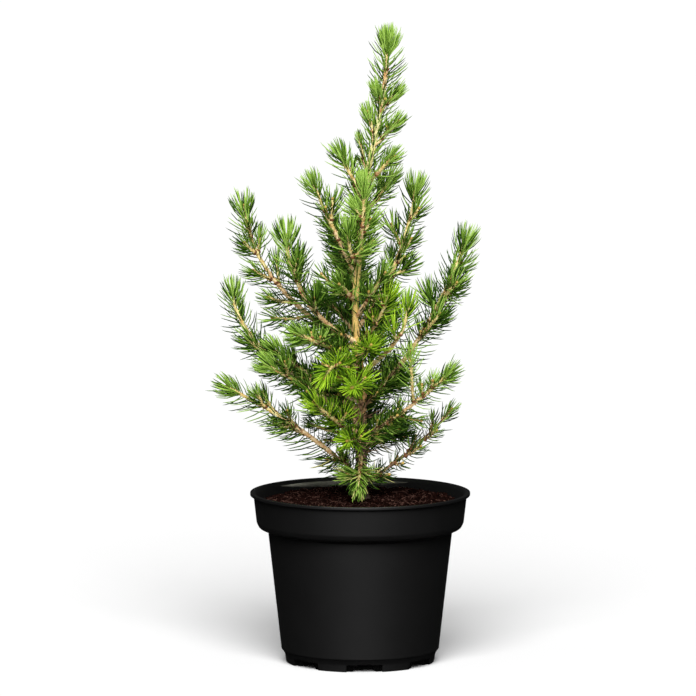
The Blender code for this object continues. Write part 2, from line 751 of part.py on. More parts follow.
# Twigs with needles
def twig_facets(rows):
    """Triangles of a three-sided twig whose rows turn to and fro by 60 degrees, ending in a
    bud point, each with the row that it starts from."""
    facets = []
    for i in range(rows - 1):
        low = TWIG_SIDES * i
        high = low + TWIG_SIDES
        turned = i % 2
        for k in range(TWIG_SIDES):
            after = (k + 1) % TWIG_SIDES
            top = high + (after if turned else k)
            next_top = high + ((after + 1) % TWIG_SIDES if turned else after)
            facets.append((low + k, low + after, top, i))
            facets.append((top, low + after, next_top, i))
    bud = TWIG_SIDES * rows
    last = bud - TWIG_SIDES
    for k in range(TWIG_SIDES):
        facets.append((last + k, last + (k + 1) % TWIG_SIDES, bud, rows - 1))
    return facets


def needle_tip(twig, root, row, rng):
    """The tip of a needle that leans from the twig, less the nearer it stands to the bud."""
    share = row / (len(twig.path) - 1)
    lean = LEAN_BUD if share == 1 else LEAN_ROOT + (LEAN_TIP - LEAN_ROOT) * share
    direction = twig.aims[row]
    out = root - twig.path[row]
    out = unit(out - direction * (out @ direction))
    across = np.cross(direction, out)
    angle = math.radians(lean + rng.uniform(-LEAN_SPREAD, LEAN_SPREAD))
    aim = math.cos(angle) * direction + math.sin(angle) * out + rng.uniform(-SKEW, SKEW) * across
    length = NEEDLE * (1 - NEEDLE_TIP_SHORTER * share) * rng.uniform(1 - NEEDLE_SPREAD, 1 + NEEDLE_SPREAD)
    return root + unit(aim) * length


def has_room(root, tip, others, same, space):
    if tip[2] <= NEEDLE_LOWEST_Z:
        return False
    if space.gap(root, tip, NEEDLE_ROOT_R, NEEDLE_TIP_R, others) <= NEEDLE_GAP:
        return False
    return space.gap(root, tip, NEEDLE_ROOT_R, NEEDLE_TIP_R, same) > OWN_GAP


def twig_body(twig, index, space, rng):
    """A three-sided twig whose every facet is raised into a needle, where there is room. The
    first stretch of a side shoot has none, as it is sunk in its parent."""
    points = []
    for i, (centre, aim, radius) in enumerate(zip(twig.path, twig.aims, twig.radii)):
        points += ring_across(centre, aim, radius, TWIG_SIDES, 60 * (i % 2))
    points.append(twig.path[-1] + twig.aims[-1] * BUD)
    faces = [(2, 1, 0)]
    others = ~space.in_mass(twig.mass)
    same = space.in_mass(twig.mass) & ~space.in_twig(index)
    for a, b, c, row in twig_facets(len(twig.path)):
        root = (points[a] + points[b] + points[c]) / 3
        tip = needle_tip(twig, root, row, rng)
        if (twig.is_side and row == 0) or not has_room(root, tip, others, same, space):
            faces.append((a, b, c))
            continue
        apex = len(points)
        points.append(tip)
        faces += [(a, b, apex), (b, c, apex), (c, a, apex)]
        space.add(root, tip, NEEDLE_ROOT_R, NEEDLE_TIP_R, twig.mass, index)
    return points, faces


# Boughs and masses as objects
def make_bough(name, bough, cutter, material):
    sections = zip(bough.path, bough.aims, bough.radii)
    rings = [ring_across(centre, aim, radius, BOUGH_SIDES) for centre, aim, radius in sections]
    obj = mesh_object(f"bough_{name}", *ringed(rings), material)
    apply_boolean(obj, "DIFFERENCE", cutter)
    keep_main_body(obj)
    return obj


def make_mass(name, bodies, cutter, material):
    """Joins a mass's twigs in one union, then cuts it clear of the trunk."""
    mass = mesh_object(f"needles_{name}", *bodies[0], material)
    if len(bodies) > 1:
        others = new_collection(f"twigs_{name}")
        for k, body in enumerate(bodies[1:]):
            hidden(mesh_object(f"twig_{name}_{k}", *body, material, others))
        apply_boolean(mass, "UNION", others)
        remove_collection(others)
    if cutter:
        apply_boolean(mass, "DIFFERENCE", cutter)
    keep_main_body(mass)
    return mass


def make_plant(wood, green):
    """The trunk is cut out of what grows from it with a clear gap round it."""
    grown = CLEAR / math.cos(math.pi / TRUNK_SIDES)
    cutter = hidden(mesh_object("trunk_clearance", *trunk_shape(grown, CLEAR), wood))
    boughs = plan_boughs()
    mains = plan_mains()
    space = Space()
    trunk = [trunk_at(z) for z in trunk_heights()]
    space.add_limb([centre for centre, _ in trunk], [radius for _, radius in trunk], TRUNK, TRUNK)
    for bough in boughs.values():
        space.add_limb(bough.path, bough.radii, WOOD, WOOD)
    for index, main in enumerate(mains):
        space.add_limb(main.path, main.radii, main.mass, index)
    space.settle()
    twigs = mains + plan_sides(mains, space)
    for name, bough in boughs.items():
        make_bough(name, bough, cutter, wood)
    for number, (name, shoot) in enumerate(MASSES.items()):
        bodies = []
        for index, twig in enumerate(twigs):
            if twig.mass == number:
                bodies.append(twig_body(twig, index, space, random.Random(f"{SEED}-{name}-{index}")))
                space.settle()
        grows_from_trunk = not shoot.bare and shoot is not LEADER
        make_mass(name, bodies, cutter if grows_from_trunk else None, green)
    bpy.data.objects.remove(cutter, do_unlink=True)


def main():
    clear_scene()
    make_pot()
    make_soil()
    make_trunk()
    make_plant(bark(), needle_green())


main()
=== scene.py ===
# %% [markdown]
# # A potted dwarf Alberta spruce
#
# This lesson dresses a small conifer in a black nursery pot. The solids come from a packed
# model: a pot, its soil, a trunk, eleven boughs and forty-five masses of needles. They are
# plain on purpose. Here each of them is replaced by a finer mesh that grows from the same
# named sizes, so that the dressed plant fills the space of its solids and no more.

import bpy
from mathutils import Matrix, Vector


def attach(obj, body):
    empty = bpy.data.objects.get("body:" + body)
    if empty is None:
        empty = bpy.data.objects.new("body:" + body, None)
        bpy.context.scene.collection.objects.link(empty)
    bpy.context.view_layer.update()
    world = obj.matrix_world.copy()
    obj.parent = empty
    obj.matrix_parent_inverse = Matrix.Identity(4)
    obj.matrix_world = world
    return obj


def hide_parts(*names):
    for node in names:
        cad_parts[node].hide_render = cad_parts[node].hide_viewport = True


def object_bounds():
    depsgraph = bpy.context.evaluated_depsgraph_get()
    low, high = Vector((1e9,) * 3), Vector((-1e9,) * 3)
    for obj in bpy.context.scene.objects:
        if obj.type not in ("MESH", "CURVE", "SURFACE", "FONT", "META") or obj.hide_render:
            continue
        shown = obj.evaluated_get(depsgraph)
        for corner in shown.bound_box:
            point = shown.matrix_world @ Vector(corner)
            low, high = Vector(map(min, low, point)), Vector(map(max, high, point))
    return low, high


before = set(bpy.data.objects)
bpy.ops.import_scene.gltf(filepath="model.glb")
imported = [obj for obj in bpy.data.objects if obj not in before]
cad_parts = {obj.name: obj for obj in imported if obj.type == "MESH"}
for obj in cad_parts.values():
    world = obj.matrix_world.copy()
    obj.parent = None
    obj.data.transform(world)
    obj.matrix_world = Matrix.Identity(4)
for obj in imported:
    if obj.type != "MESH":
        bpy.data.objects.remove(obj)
CAD_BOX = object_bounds()
print(len(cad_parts), "solids, from", list(CAD_BOX[0]), "to", list(CAD_BOX[1]))

# %% [markdown]
# ## Sizes
#
# Lengths are in millimetres, and `put_mesh` turns them into metres at the end. The origin is
# on the floor under the pot's middle, +Z is up and the side that faces -Y is the front. The
# shoots are a table of plain measures: where each leaves the trunk, which way it heads, how
# long it is and how it rises. A few numbers a shoot are easier to read, and to change, than
# a list of points along it.

# %% Units, random seed and small helpers
import math
import random
from collections import namedtuple

import bpy
import numpy as np

MM = 0.001
SEED = "spruce"
CLEAR = 0.3
GOLDEN_TURN = math.radians(137.5)


def unit(vectors):
    """Each vector divided by its own length."""
    return vectors / np.linalg.norm(vectors, axis=-1, keepdims=True)


def eased(t):
    """Goes from 0 to 1 with level ends: three t squared less two t cubed."""
    t = np.clip(t, 0.0, 1.0)
    return t * t * (3 - 2 * t)


def seeded(word):
    """A numpy generator whose seed is spelled out by a word."""
    return np.random.default_rng([ord(letter) for letter in SEED + word])


def round_angles(count):
    """Angles that share a full turn evenly, from zero on."""
    return np.linspace(0, 2 * math.pi, count, endpoint=False)


def round_points(radius, angle, z):
    """Points at a radius and an angle round the Z axis, and at a height."""
    return np.stack(np.broadcast_arrays(radius * np.cos(angle), radius * np.sin(angle), z), axis=-1)


def gaps_along(path):
    """The distance from each point of a path to the next."""
    return np.linalg.norm(np.diff(path, axis=0), axis=1)


# %% Putting arrays into a mesh
def put_mesh(name, points, face_sets, material, smooth=True):
    """A mesh object at the origin. Points are in millimetres, and each set of faces is one
    array with the same number of corners in every row."""
    face_sets = [np.asarray(faces) for faces in face_sets if len(faces)]
    sizes = np.concatenate([np.full(len(faces), faces.shape[1]) for faces in face_sets])
    corners = np.concatenate([faces.ravel() for faces in face_sets])
    mesh = bpy.data.meshes.new(name)
    mesh.vertices.add(len(points))
    mesh.vertices.foreach_set("co", (np.asarray(points) * MM).astype(np.float32).ravel())
    mesh.loops.add(len(corners))
    mesh.loops.foreach_set("vertex_index", corners.astype(np.int32))
    mesh.polygons.add(len(sizes))
    mesh.polygons.foreach_set("loop_start", (np.cumsum(sizes) - sizes).astype(np.int32))
    mesh.polygons.foreach_set("use_smooth", np.full(len(sizes), smooth))
    mesh.update(calc_edges=True)
    mesh.validate()
    mesh.materials.append(material)
    obj = bpy.data.objects.new(name, mesh)
    bpy.context.scene.collection.objects.link(obj)
    triangles = int((sizes - 2).sum())
    print(f"{name}: {len(points)} points, {triangles} triangles")
    return obj


def grid_faces(rows, columns):
    """Quads of a grid whose last column joins its first. Where a row runs anticlockwise
    round the way on to the next row, they face outwards."""
    row = np.arange(rows - 1)[:, None] * columns
    column = np.arange(columns)[None, :]
    after = (column + 1) % columns
    corners = (row + column, row + after, row + columns + after, row + columns + column)
    return np.stack(np.broadcast_arrays(*corners), axis=2).reshape(-1, 4)


def closed_grid(rings, first_pole, last_pole):
    """Points and faces of a skin: rings of points, shut by a fan of triangles at each end."""
    rows, columns = rings.shape[:2]
    points = np.vstack([rings.reshape(-1, 3), first_pole, last_pole])
    column = np.arange(columns)
    after = (column + 1) % columns
    low = np.full(columns, rows * columns)
    high = low + 1
    last = (rows - 1) * columns
    fans = [np.stack([low, after, column], axis=1), np.stack([high, last + column, last + after], axis=1)]
    return points, [grid_faces(rows, columns), np.vstack(fans)]


class Bundle:
    """Many small skins, each of quads and triangles, gathered into the arrays of one mesh."""

    def __init__(self):
        self.points = []
        self.face_sets = ([], [])
        self.count = 0

    def add(self, points, face_sets):
        """One more skin, whose faces are numbered on from the points gathered so far."""
        self.points.append(points)
        for gathered, faces in zip(self.face_sets, face_sets):
            gathered.append(faces + self.count)
        self.count += len(points)

    def put(self, name, material):
        """The mesh object of all the skins."""
        faces = [np.vstack(gathered) for gathered in self.face_sets]
        return put_mesh(name, np.vstack(self.points), faces, material)


# %% [markdown]
# ## Materials
#
# A finish here is a Principled shader with two near colours mixed by a noise pattern, and a
# fine relief from a second noise. The patterns read Object coordinates, which are metres in
# the part's own frame, so a scale of 400 makes patches of about 2.5 mm. The needles' tints
# are one material each, because which spray gets which tint carries the picture, and a
# pattern loses its place when it is baked on thousands of tiny faces. Within a tint the
# mottle is slight, and may fall anywhere.

# %% Nodes, each made and linked in one call
GRAIN_DETAIL = 6.0


def feed(tree, node, inputs):
    """Gives a node its inputs: a socket of another node is linked, a plain value is set."""
    for key, value in inputs.items():
        if isinstance(value, bpy.types.NodeSocket):
            tree.links.new(value, node.inputs[key])
        else:
            node.inputs[key].default_value = value


def new_material(name, roughness, specular):
    """A material, its node tree and its Principled shader, with the shader's gloss set."""
    material = bpy.data.materials.new(name)
    material.use_nodes = True
    shader = material.node_tree.nodes["Principled BSDF"]
    feed(material.node_tree, shader, {"Roughness": roughness, "Specular IOR Level": specular})
    return material, material.node_tree, shader


def add_node(tree, kind, inputs=None, **settings):
    """The outputs of a new node that has its settings, such as an operation, and its inputs."""
    node = tree.nodes.new("ShaderNode" + kind)
    for key, value in settings.items():
        setattr(node, key, value)
    feed(tree, node, inputs or {})
    return node.outputs


def add_noise(tree, where, scale, detail):
    """A noise pattern, from 0 to 1, whose scale is the number of patches in a metre."""
    return add_node(tree, "TexNoise", {"Vector": where, "Scale": scale, "Detail": detail})["Fac"]


def add_ramp(tree, value, stops):
    """Colours blended from stop to stop, where a stop is a place from 0 to 1 and a colour."""
    ramp = tree.nodes.new("ShaderNodeValToRGB")
    feed(tree, ramp, {"Fac": value})
    elements = ramp.color_ramp.elements
    for element, (place, colour) in zip(elements, (stops[0], stops[-1])):
        element.position, element.color = place, (*colour, 1.0)
    for place, colour in stops[1:-1]:
        elements.new(place).color = (*colour, 1.0)
    return ramp.outputs["Color"]


def add_grain(tree, shader, where, height, scale):
    """Fine grain on the shader's surface: a noise of the given height in millimetres."""
    noise = add_noise(tree, where, scale, GRAIN_DETAIL)
    bump = add_node(tree, "Bump", {"Height": noise, "Strength": 1.0, "Distance": height * MM})
    feed(tree, shader, {"Normal": bump["Normal"]})


# %% A mottled finish
MOTTLE_DETAIL = 4.0
MOTTLE_STOPS = (0.35, 0.65)


def mottled(name, dark, light, scale, roughness, specular, grain=0.0, grain_scale=0.0):
    """A Principled material whose base colour wanders between two near colours, by a noise
    of the given scale per metre, with a grain of the given height in millimetres."""
    material, tree, shader = new_material(name, roughness, specular)
    where = add_node(tree, "TexCoord")["Object"]
    noise = add_noise(tree, where, scale, MOTTLE_DETAIL)
    stops = list(zip(MOTTLE_STOPS, (dark, light)))
    feed(tree, shader, {"Base Color": add_ramp(tree, noise, stops)})
    if grain:
        add_grain(tree, shader, where, grain, grain_scale)
    return material


# %% The finishes of pot, soil and wood
Finish = namedtuple("Finish", "dark light scale roughness specular grain grain_scale")
FINISHES = {
    "pot_plastic": Finish((0.0012, 0.0012, 0.0013), (0.0019, 0.0019, 0.0020), 60, 0.46, 1.0, 0.02, 2500),
    # The back wall's pale film paints a highlight there as well as dried dirt.
    "pot_sheen_dust": Finish((0.160, 0.160, 0.132), (0.340, 0.340, 0.280), 110, 0.9, 0.1, 0.02, 2500),
    "soil_dark": Finish((0.0022, 0.0005, 0.0003), (0.0078, 0.0020, 0.0012), 450, 0.95, 0.03, 0.4, 1800),
    "soil_crumb": Finish((0.0036, 0.0009, 0.0006), (0.015, 0.0048, 0.0034), 500, 0.95, 0.03, 0.2, 2500),
    "soil_pale": Finish((0.035, 0.015, 0.011), (0.13, 0.066, 0.050), 500, 0.9, 0.1, 0.1, 2500),
    "bark_brown": Finish((0.13, 0.060, 0.030), (0.60, 0.38, 0.22), 560, 0.85, 0.2, 0.14, 1600),
    "bark_dark": Finish((0.035, 0.018, 0.010), (0.30, 0.18, 0.10), 620, 0.85, 0.2, 0.14, 1600),
    # bark_tan's light colour is near white: a tan brightened as painted light for boughs in the crown's
    # shade.
    "bark_tan": Finish((0.54, 0.27, 0.095), (0.98, 0.76, 0.44), 560, 0.75, 0.2, 0.10, 1800),
    "stem_pale": Finish((0.52, 0.33, 0.09), (0.92, 0.80, 0.38), 520, 0.65, 0.25, 0.06, 2000),
    "scale_brown": Finish((0.10, 0.035, 0.012), (0.26, 0.10, 0.035), 900, 0.8, 0.3, 0.05, 2500),
    "bud_amber": Finish((0.36, 0.20, 0.04), (0.60, 0.42, 0.10), 700, 0.55, 0.4, 0.03, 2500),
}
FINISH = {name: mottled(name, *finish) for name, finish in FINISHES.items()}
print(len(FINISH), "finishes")

# %% The needles' tints: a plain and a yellower family, each from young and lit to old and shaded
TINTS = {
    "tip_green": ((0.29, 0.49, 0.060), (0.43, 0.66, 0.13)),
    "fresh_green": ((0.150, 0.290, 0.024), (0.220, 0.385, 0.043)),
    "mid_green": ((0.080, 0.182, 0.011), (0.120, 0.250, 0.020)),
    "deep_green": ((0.036, 0.105, 0.004), (0.062, 0.155, 0.009)),
    "shade_green": ((0.012, 0.044, 0.001), (0.024, 0.072, 0.003)),
    "star_lime": ((0.36, 0.60, 0.026), (0.50, 0.75, 0.046)),
    "star_green": ((0.195, 0.390, 0.012), (0.280, 0.510, 0.022)),
    "star_deep": ((0.092, 0.210, 0.006), (0.138, 0.290, 0.012)),
    "straw": ((0.48, 0.44, 0.13), (0.70, 0.66, 0.26)),
}
NEEDLE_FINISH = {
    tint: mottled("needle_" + tint, dark, light, 260, 0.46, 0.22)
    for tint, (dark, light) in TINTS.items()
}
print(len(NEEDLE_FINISH), "tints of needle")

# %% [markdown]
# ## The pot
#
# The real pot is blown or pressed from thin black plastic: a tapered body, a step out to a
# deep band, and a thin lip that stiffens it. Everything is round, so one outline turned
# about the axis makes it. Seven drain notches cut the foot ring: a shallow pocket outside
# with a narrower gap behind it. Rather than cut them with a Boolean, which leaves long thin
# faces, the rows of the foot are lifted where a notch passes: the height of a point there is
# the larger of its own and the notch's.

# %% The pot's outline
POT_HEIGHT = 93.0
POT_LIP_R = 60.0
POT_LIP_DEPTH = 1.6
POT_LIP_WIDTH = 2.5
POT_BAND_TOP_R = 58.2
POT_BAND_FOOT_R = 56.4
POT_BAND_FOOT_Z = 76.6
POT_BODY_TOP_R = 50.3
POT_BODY_TOP_Z = 72.2
POT_BODY_FOOT_R = 43.0
POT_CREASE_Z = 7.2
POT_FOOT_R = 40.4
POT_FOOT_RING_IN_R = 33.0
POT_PAD_R = 12.4
POT_WALL = 1.4
POT_FLOOR_Z = 6.4
RECESS_SLOPE = 0.6
FOOT_SPREAD = (0.7, 4.3)
CREASE_DEPTH = (0.6, 0.5)
POT_SIDES = 600
CORNER_STEPS = 4
SUPPORT = 0.2
Corner = namedtuple("Corner", "r z round")


def pot_outline():
    """Corners from the underside's middle out, up the outer wall, over the lip and down the
    inner wall to the floor, each with the radius that rounds it."""
    lip_z = POT_HEIGHT - POT_LIP_DEPTH
    out = POT_BAND_FOOT_R - POT_BODY_TOP_R
    return [
        Corner(0.0, 0.0, 0.0),
        Corner(POT_PAD_R, 0.0, 0.4),
        Corner(POT_PAD_R + RECESS_SLOPE, NOTCH_HEIGHT, 0.4),
        Corner(POT_FOOT_RING_IN_R - RECESS_SLOPE, NOTCH_HEIGHT, 0.4),
        Corner(POT_FOOT_RING_IN_R, 0.0, 0.3),
        Corner(POT_FOOT_R - POCKET_DEPTH - STEP_HALF, 0.0, 0.0),
        Corner(POT_FOOT_R - POCKET_DEPTH + STEP_HALF, 0.0, 0.0),
        Corner(POT_FOOT_R, 0.0, 0.3),
        Corner(POT_FOOT_R + FOOT_SPREAD[0], FOOT_SPREAD[1], 0.8),
        Corner(POT_BODY_FOOT_R - CREASE_DEPTH[0], POT_CREASE_Z - CREASE_DEPTH[1], 0.35),
        Corner(POT_BODY_FOOT_R, POT_CREASE_Z, 0.35),
        Corner(POT_BODY_TOP_R, POT_BODY_TOP_Z, 0.6),
        Corner(POT_BODY_TOP_R + 0.80 * out, POT_BODY_TOP_Z + 1.7, 1.2),
        Corner(POT_BAND_FOOT_R + 0.1, POT_BAND_FOOT_Z, 0.7),
        Corner(POT_BAND_TOP_R, lip_z, 0.25),
        Corner(POT_LIP_R, lip_z + 0.1, 0.3),
        Corner(POT_LIP_R, POT_HEIGHT, 0.16),
        Corner(POT_LIP_R - POT_LIP_WIDTH, POT_HEIGHT, 0.3),
        Corner(POT_BAND_TOP_R - POT_WALL, lip_z, 0.5),
        Corner(POT_BAND_FOOT_R - POT_WALL, POT_BAND_FOOT_Z - 0.8, 1.0),
        Corner(POT_BODY_TOP_R - POT_WALL + 0.1, POT_BODY_TOP_Z + 0.6, 1.0),
        Corner(POT_BODY_FOOT_R - POT_WALL + 0.2, POT_FLOOR_Z + 1.8, 0.8),
        Corner(POT_BODY_FOOT_R - 2 * POT_WALL, POT_FLOOR_Z, 0.5),
        Corner(0.0, POT_FLOOR_Z, 0.0),
    ]


def rounded_outline(corners):
    """(radius, height) along the outline, with each inner corner a bow: a quadratic curve that
    leaves the first side and meets the second at the corner's own distance from it. One more
    point a little way along each side keeps the shading of the straight wall straight."""
    spots = np.array([(c.r, c.z) for c in corners])
    done = [spots[:1]]
    t = np.linspace(0, 1, CORNER_STEPS)[:, None]
    for before, here, after, corner in zip(spots, spots[1:], spots[2:], corners[1:]):
        back, on = before - here, after - here
        far_back, far_on = np.linalg.norm(back), np.linalg.norm(on)
        if not corner.round:
            done.append(here[None])
            continue
        reach = min(corner.round, 0.35 * far_back, 0.35 * far_on)
        start, end = here + unit(back) * reach, here + unit(on) * reach
        bow = (1 - t) ** 2 * start + 2 * t * (1 - t) * here + t**2 * end
        hold_back = here + unit(back) * min(reach + SUPPORT, 0.45 * far_back)
        hold_on = here + unit(on) * min(reach + SUPPORT, 0.45 * far_on)
        done += [hold_back[None], bow, hold_on[None]]
    done.append(spots[-1:])
    return np.vstack(done)


# %% Drain notches and holes
NOTCHES = 7
NOTCH_TURN = -86.7
NOTCH_HEIGHT = 4.1
GAP_TOP_WIDTH = 7.2
GAP_FLOOR_WIDTH = 12.8
POCKET_WIDTH = 19.3
POCKET_HEIGHT = 3.9
POCKET_DEPTH = 1.9
STEP_HALF = 0.05
DRAIN_R = 2.6
DRAIN_RING_R = 27.0
DRAIN_SIDES = 24
PIN_PAST = 1.5


def notch_lift(radius, angle):
    """How high the notches raise the foot. Behind the pocket's wall it is a gap whose sides
    slope from its floor width to its top width. Outside that wall it is the pocket, with
    upright sides, and the gap's top shows a little above it."""
    pitch = 2 * math.pi / NOTCHES
    turn = (angle - math.radians(NOTCH_TURN) + pitch / 2) % pitch - pitch / 2
    across = np.abs(turn) * radius
    slope = np.clip((GAP_FLOOR_WIDTH / 2 - across) / (GAP_FLOOR_WIDTH - GAP_TOP_WIDTH) * 2, 0, 1)
    gap = slope * NOTCH_HEIGHT
    in_pocket = (radius > POT_FOOT_R - POCKET_DEPTH) & (across < POCKET_WIDTH / 2)
    return np.where(in_pocket, np.maximum(gap, POCKET_HEIGHT), gap)


def pot_skin(sides):
    """The outline turned about Z. A point on the foot ring or the wall above it stands at its
    own height or the notch's, whichever is higher."""
    outline = rounded_outline(pot_outline())
    rings, poles = outline[1:-1], outline[[0, -1]]
    angle = round_angles(sides)
    radius, height = rings[:, :1], rings[:, 1:]
    in_foot = (radius > POT_FOOT_RING_IN_R - 0.5) & (height < NOTCH_HEIGHT)
    z = np.where(in_foot, np.maximum(height, notch_lift(radius, angle)), height)
    skin = round_points(radius, angle, z)
    return closed_grid(skin, (0, 0, poles[0, 1]), (0, 0, poles[1, 1]))


def drain_pins():
    """Round pins, one mesh, that cut the drain holes through the pot's floor."""
    pins = Bundle()
    low, high = NOTCH_HEIGHT - PIN_PAST, POT_FLOOR_Z + PIN_PAST
    for i in range(NOTCHES):
        turn = math.radians(NOTCH_TURN + i * 360 / NOTCHES)
        x, y = DRAIN_RING_R * math.cos(turn), DRAIN_RING_R * math.sin(turn)
        rings = round_points(DRAIN_R, round_angles(DRAIN_SIDES), np.array([[low], [high]]))
        pins.add(*closed_grid(rings + (x, y, 0), (x, y, low), (x, y, high)))
    return pins.put("drain_pins", FINISH["pot_plastic"])


# %% Making the pot
def cut_away(obj, cutter):
    """Takes the cutter out of the object, for good, and removes the cutter."""
    modifier = obj.modifiers.new("cut", "BOOLEAN")
    modifier.operation = "DIFFERENCE"
    modifier.solver = "MANIFOLD"
    modifier.object = cutter
    graph = bpy.context.evaluated_depsgraph_get()
    result = bpy.data.meshes.new_from_object(obj.evaluated_get(graph))
    obj.modifiers.remove(modifier)
    obj.data = result
    bpy.data.objects.remove(cutter, do_unlink=True)


def make_pot():
    """The turned skin less the drain pins."""
    pot = put_mesh("pot_shell", *pot_skin(POT_SIDES), FINISH["pot_plastic"])
    cut_away(pot, drain_pins())
    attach(pot, "root")
    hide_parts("pot")
    return pot


pot = make_pot()
print("pot:", len(pot.data.polygons), "faces")

# %% Dust and a painted highlight on the inner wall
DUST_SHEEN_SPAN = (62.0, 140.0)
DUST_SHEEN_Z = (88.0, 91.35)
DUST_SHEEN_THICK = 0.12
DUST_SHEEN_OFF = 0.03
DUST_SHEEN_COLUMNS = 90
DUST_SHEEN_POWER = 0.8
DUST_SHEEN_RAGGED = 0.12
DUST_SHEEN_DIP = 0.3


def inner_wall_radius(z):
    """The radius of the band's inner wall: a straight line between its two corners."""
    ends_z = (POT_BAND_FOOT_Z - 0.8, POT_HEIGHT - POT_LIP_DEPTH)
    return np.interp(z, ends_z, (POT_BAND_FOOT_R - POT_WALL, POT_BAND_TOP_R - POT_WALL))


def make_sheen_dust():
    """A pale film high on the back wall, partly dried dirt that watering left and partly a
    painted highlight. Round the pot its height follows a power of a sine, with three small
    waves along its lower edge, so it starts and ends in a point. A ring of four corners runs
    from one end to the other."""
    share = np.linspace(0.004, 0.996, DUST_SHEEN_COLUMNS)
    angle = np.radians(DUST_SHEEN_SPAN[0] + (DUST_SHEEN_SPAN[1] - DUST_SHEEN_SPAN[0]) * share)
    swell = np.sin(math.pi * share) ** DUST_SHEEN_POWER
    ragged = DUST_SHEEN_RAGGED * (np.sin(17 * angle + 1) + np.sin(31 * angle + 4) + np.sin(53 * angle))
    high = DUST_SHEEN_Z[1] - DUST_SHEEN_DIP * (1 - swell)
    low = high - (DUST_SHEEN_Z[1] - DUST_SHEEN_Z[0] + ragged) * swell
    corners = []
    for z, depth in ((low, DUST_SHEEN_OFF), (high, DUST_SHEEN_OFF), (high, DUST_SHEEN_THICK), (low, DUST_SHEEN_THICK)):
        corners.append(round_points(inner_wall_radius(z) - depth, angle, z))
    rings = np.stack(corners, axis=1)
    film = put_mesh("pot_sheen_dust_film", *shut_ends(rings), FINISH["pot_sheen_dust"])
    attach(film, "root")


def shut_ends(rings):
    """Points and faces of a skin whose first and last ring are shut by a face each."""
    rows, columns = rings.shape[:2]
    column = np.arange(columns)
    ends = np.stack([column[::-1], (rows - 1) * columns + column])
    return rings.reshape(-1, 3), [grid_faces(rows, columns), ends]


# The pale film is dried dirt and a painted highlight on the back inner wall.
make_sheen_dust()

# %% [markdown]
# ## The soil
#
# Potting soil is peat: nearly black, red-brown where the light catches it, with crumbs from
# half a millimetre to two, and pale root hairs and wood fibres lying on top. A lumpy skin
# gives the bed, and a few thousand loose crumbs of twenty faces give its edge and sparkle.
# Displacing one dense sheet would cost more faces and never give a crumb an underside.

# %% The height of the soil
SOIL_EDGE_Z = 88.6
SOIL_DOME = 1.4
SOIL_SHRINK = 2.0
SOIL_EDGE_R = 56.0
SOIL_RINGS = 110
SOIL_SIDES = 360
SOIL_WAVES = 60
SHORTEST_WAVE = 2.2
LONGEST_BY = 9
LUMP_STEEPNESS = 0.011
LUMP_LIMITS = (-1.1, 0.9)
LUMPLESS_R = 7.0
LEVEL_DROP = 0.45
SHRINK_REACH = 5.0


def soil_waves():
    """Directions, lengths and phases of the waves that add up to the soil's lumps."""
    rng = seeded("soil waves")
    heading = rng.uniform(0, 2 * math.pi, SOIL_WAVES)
    length = SHORTEST_WAVE * LONGEST_BY ** rng.uniform(0, 1, SOIL_WAVES)
    phase = rng.uniform(0, 2 * math.pi, SOIL_WAVES)
    return heading, length, phase


WAVES = soil_waves()


def soil_height(x, y):
    """A low dome plus sixty sine waves, each as high as a fixed share of its length. At the
    pot's wall the soil has shrunk, by an amount that fades as an exponential of the distance,
    and at the trunk it is level."""
    heading, length, phase = WAVES
    x, y = np.asarray(x)[..., None], np.asarray(y)[..., None]
    along = x * np.cos(heading) + y * np.sin(heading)
    lumps = (LUMP_STEEPNESS * length * np.sin(2 * math.pi * along / length + phase)).sum(axis=-1)
    share = np.clip((x[..., 0] ** 2 + y[..., 0] ** 2) / SOIL_EDGE_R**2, 0, 1)
    off_trunk = eased(np.sqrt(share) * SOIL_EDGE_R / LUMPLESS_R)
    level = SOIL_EDGE_Z + SOIL_DOME * (1 - share) - LEVEL_DROP
    level = level - SOIL_SHRINK * np.exp(-SOIL_EDGE_R * (1 - np.sqrt(share)) / SHRINK_REACH)
    return level + np.clip(lumps, *LUMP_LIMITS) * off_trunk


def soil_skin():
    """The bed's top out to the wall, then down inside the pot and back along its floor."""
    angle = round_angles(SOIL_SIDES)
    inside = np.array([
        (POT_BODY_FOOT_R - 2 * POT_WALL - CLEAR, POT_FLOOR_Z + CLEAR),
        (POT_BODY_FOOT_R - POT_WALL - CLEAR, POT_FLOOR_Z + 2.0),
        (POT_BODY_TOP_R - POT_WALL - CLEAR, POT_BODY_TOP_Z + 0.4),
        (POT_BAND_FOOT_R - POT_WALL - CLEAR, POT_BAND_FOOT_Z - 0.4),
    ])
    wall = round_points(inside[:, :1], angle, inside[:, 1:])
    radius = np.linspace(SOIL_EDGE_R, 0.5, SOIL_RINGS)[:, None]
    x, y = radius * np.cos(angle), radius * np.sin(angle)
    top = np.stack([x, y, soil_height(x, y)], axis=2)
    centre = (0.0, 0.0, float(soil_height(0.0, 0.0)))
    return closed_grid(np.concatenate([wall, top]), (0, 0, POT_FLOOR_Z + CLEAR), centre)


def make_soil():
    """The bed alone. Crumbs and fibres follow."""
    soil = put_mesh("soil_bed", *soil_skin(), FINISH["soil_dark"])
    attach(soil, "root")
    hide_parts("soil")


make_soil()

# %% Crumbs: lumps of twenty faces, each stretched and knocked out of true
CRUMBS = 5200
CRUMB_SMALLEST = 0.35
CRUMB_BIGGEST = 1.25
CRUMB_MOSTLY_SMALL = 2.2
CRUMB_KNOCKED = 0.25
CRUMB_SQUASH = (0.55, 1.1)
CRUMB_SITS = (-0.1, 0.45)
CRUMBS_FROM_WALL = 1.6
PALE_CRUMBS = 420
PALE_BIGGEST = 0.75
TRUNK_FREE_R = 6.0
PHI = (1 + math.sqrt(5)) / 2


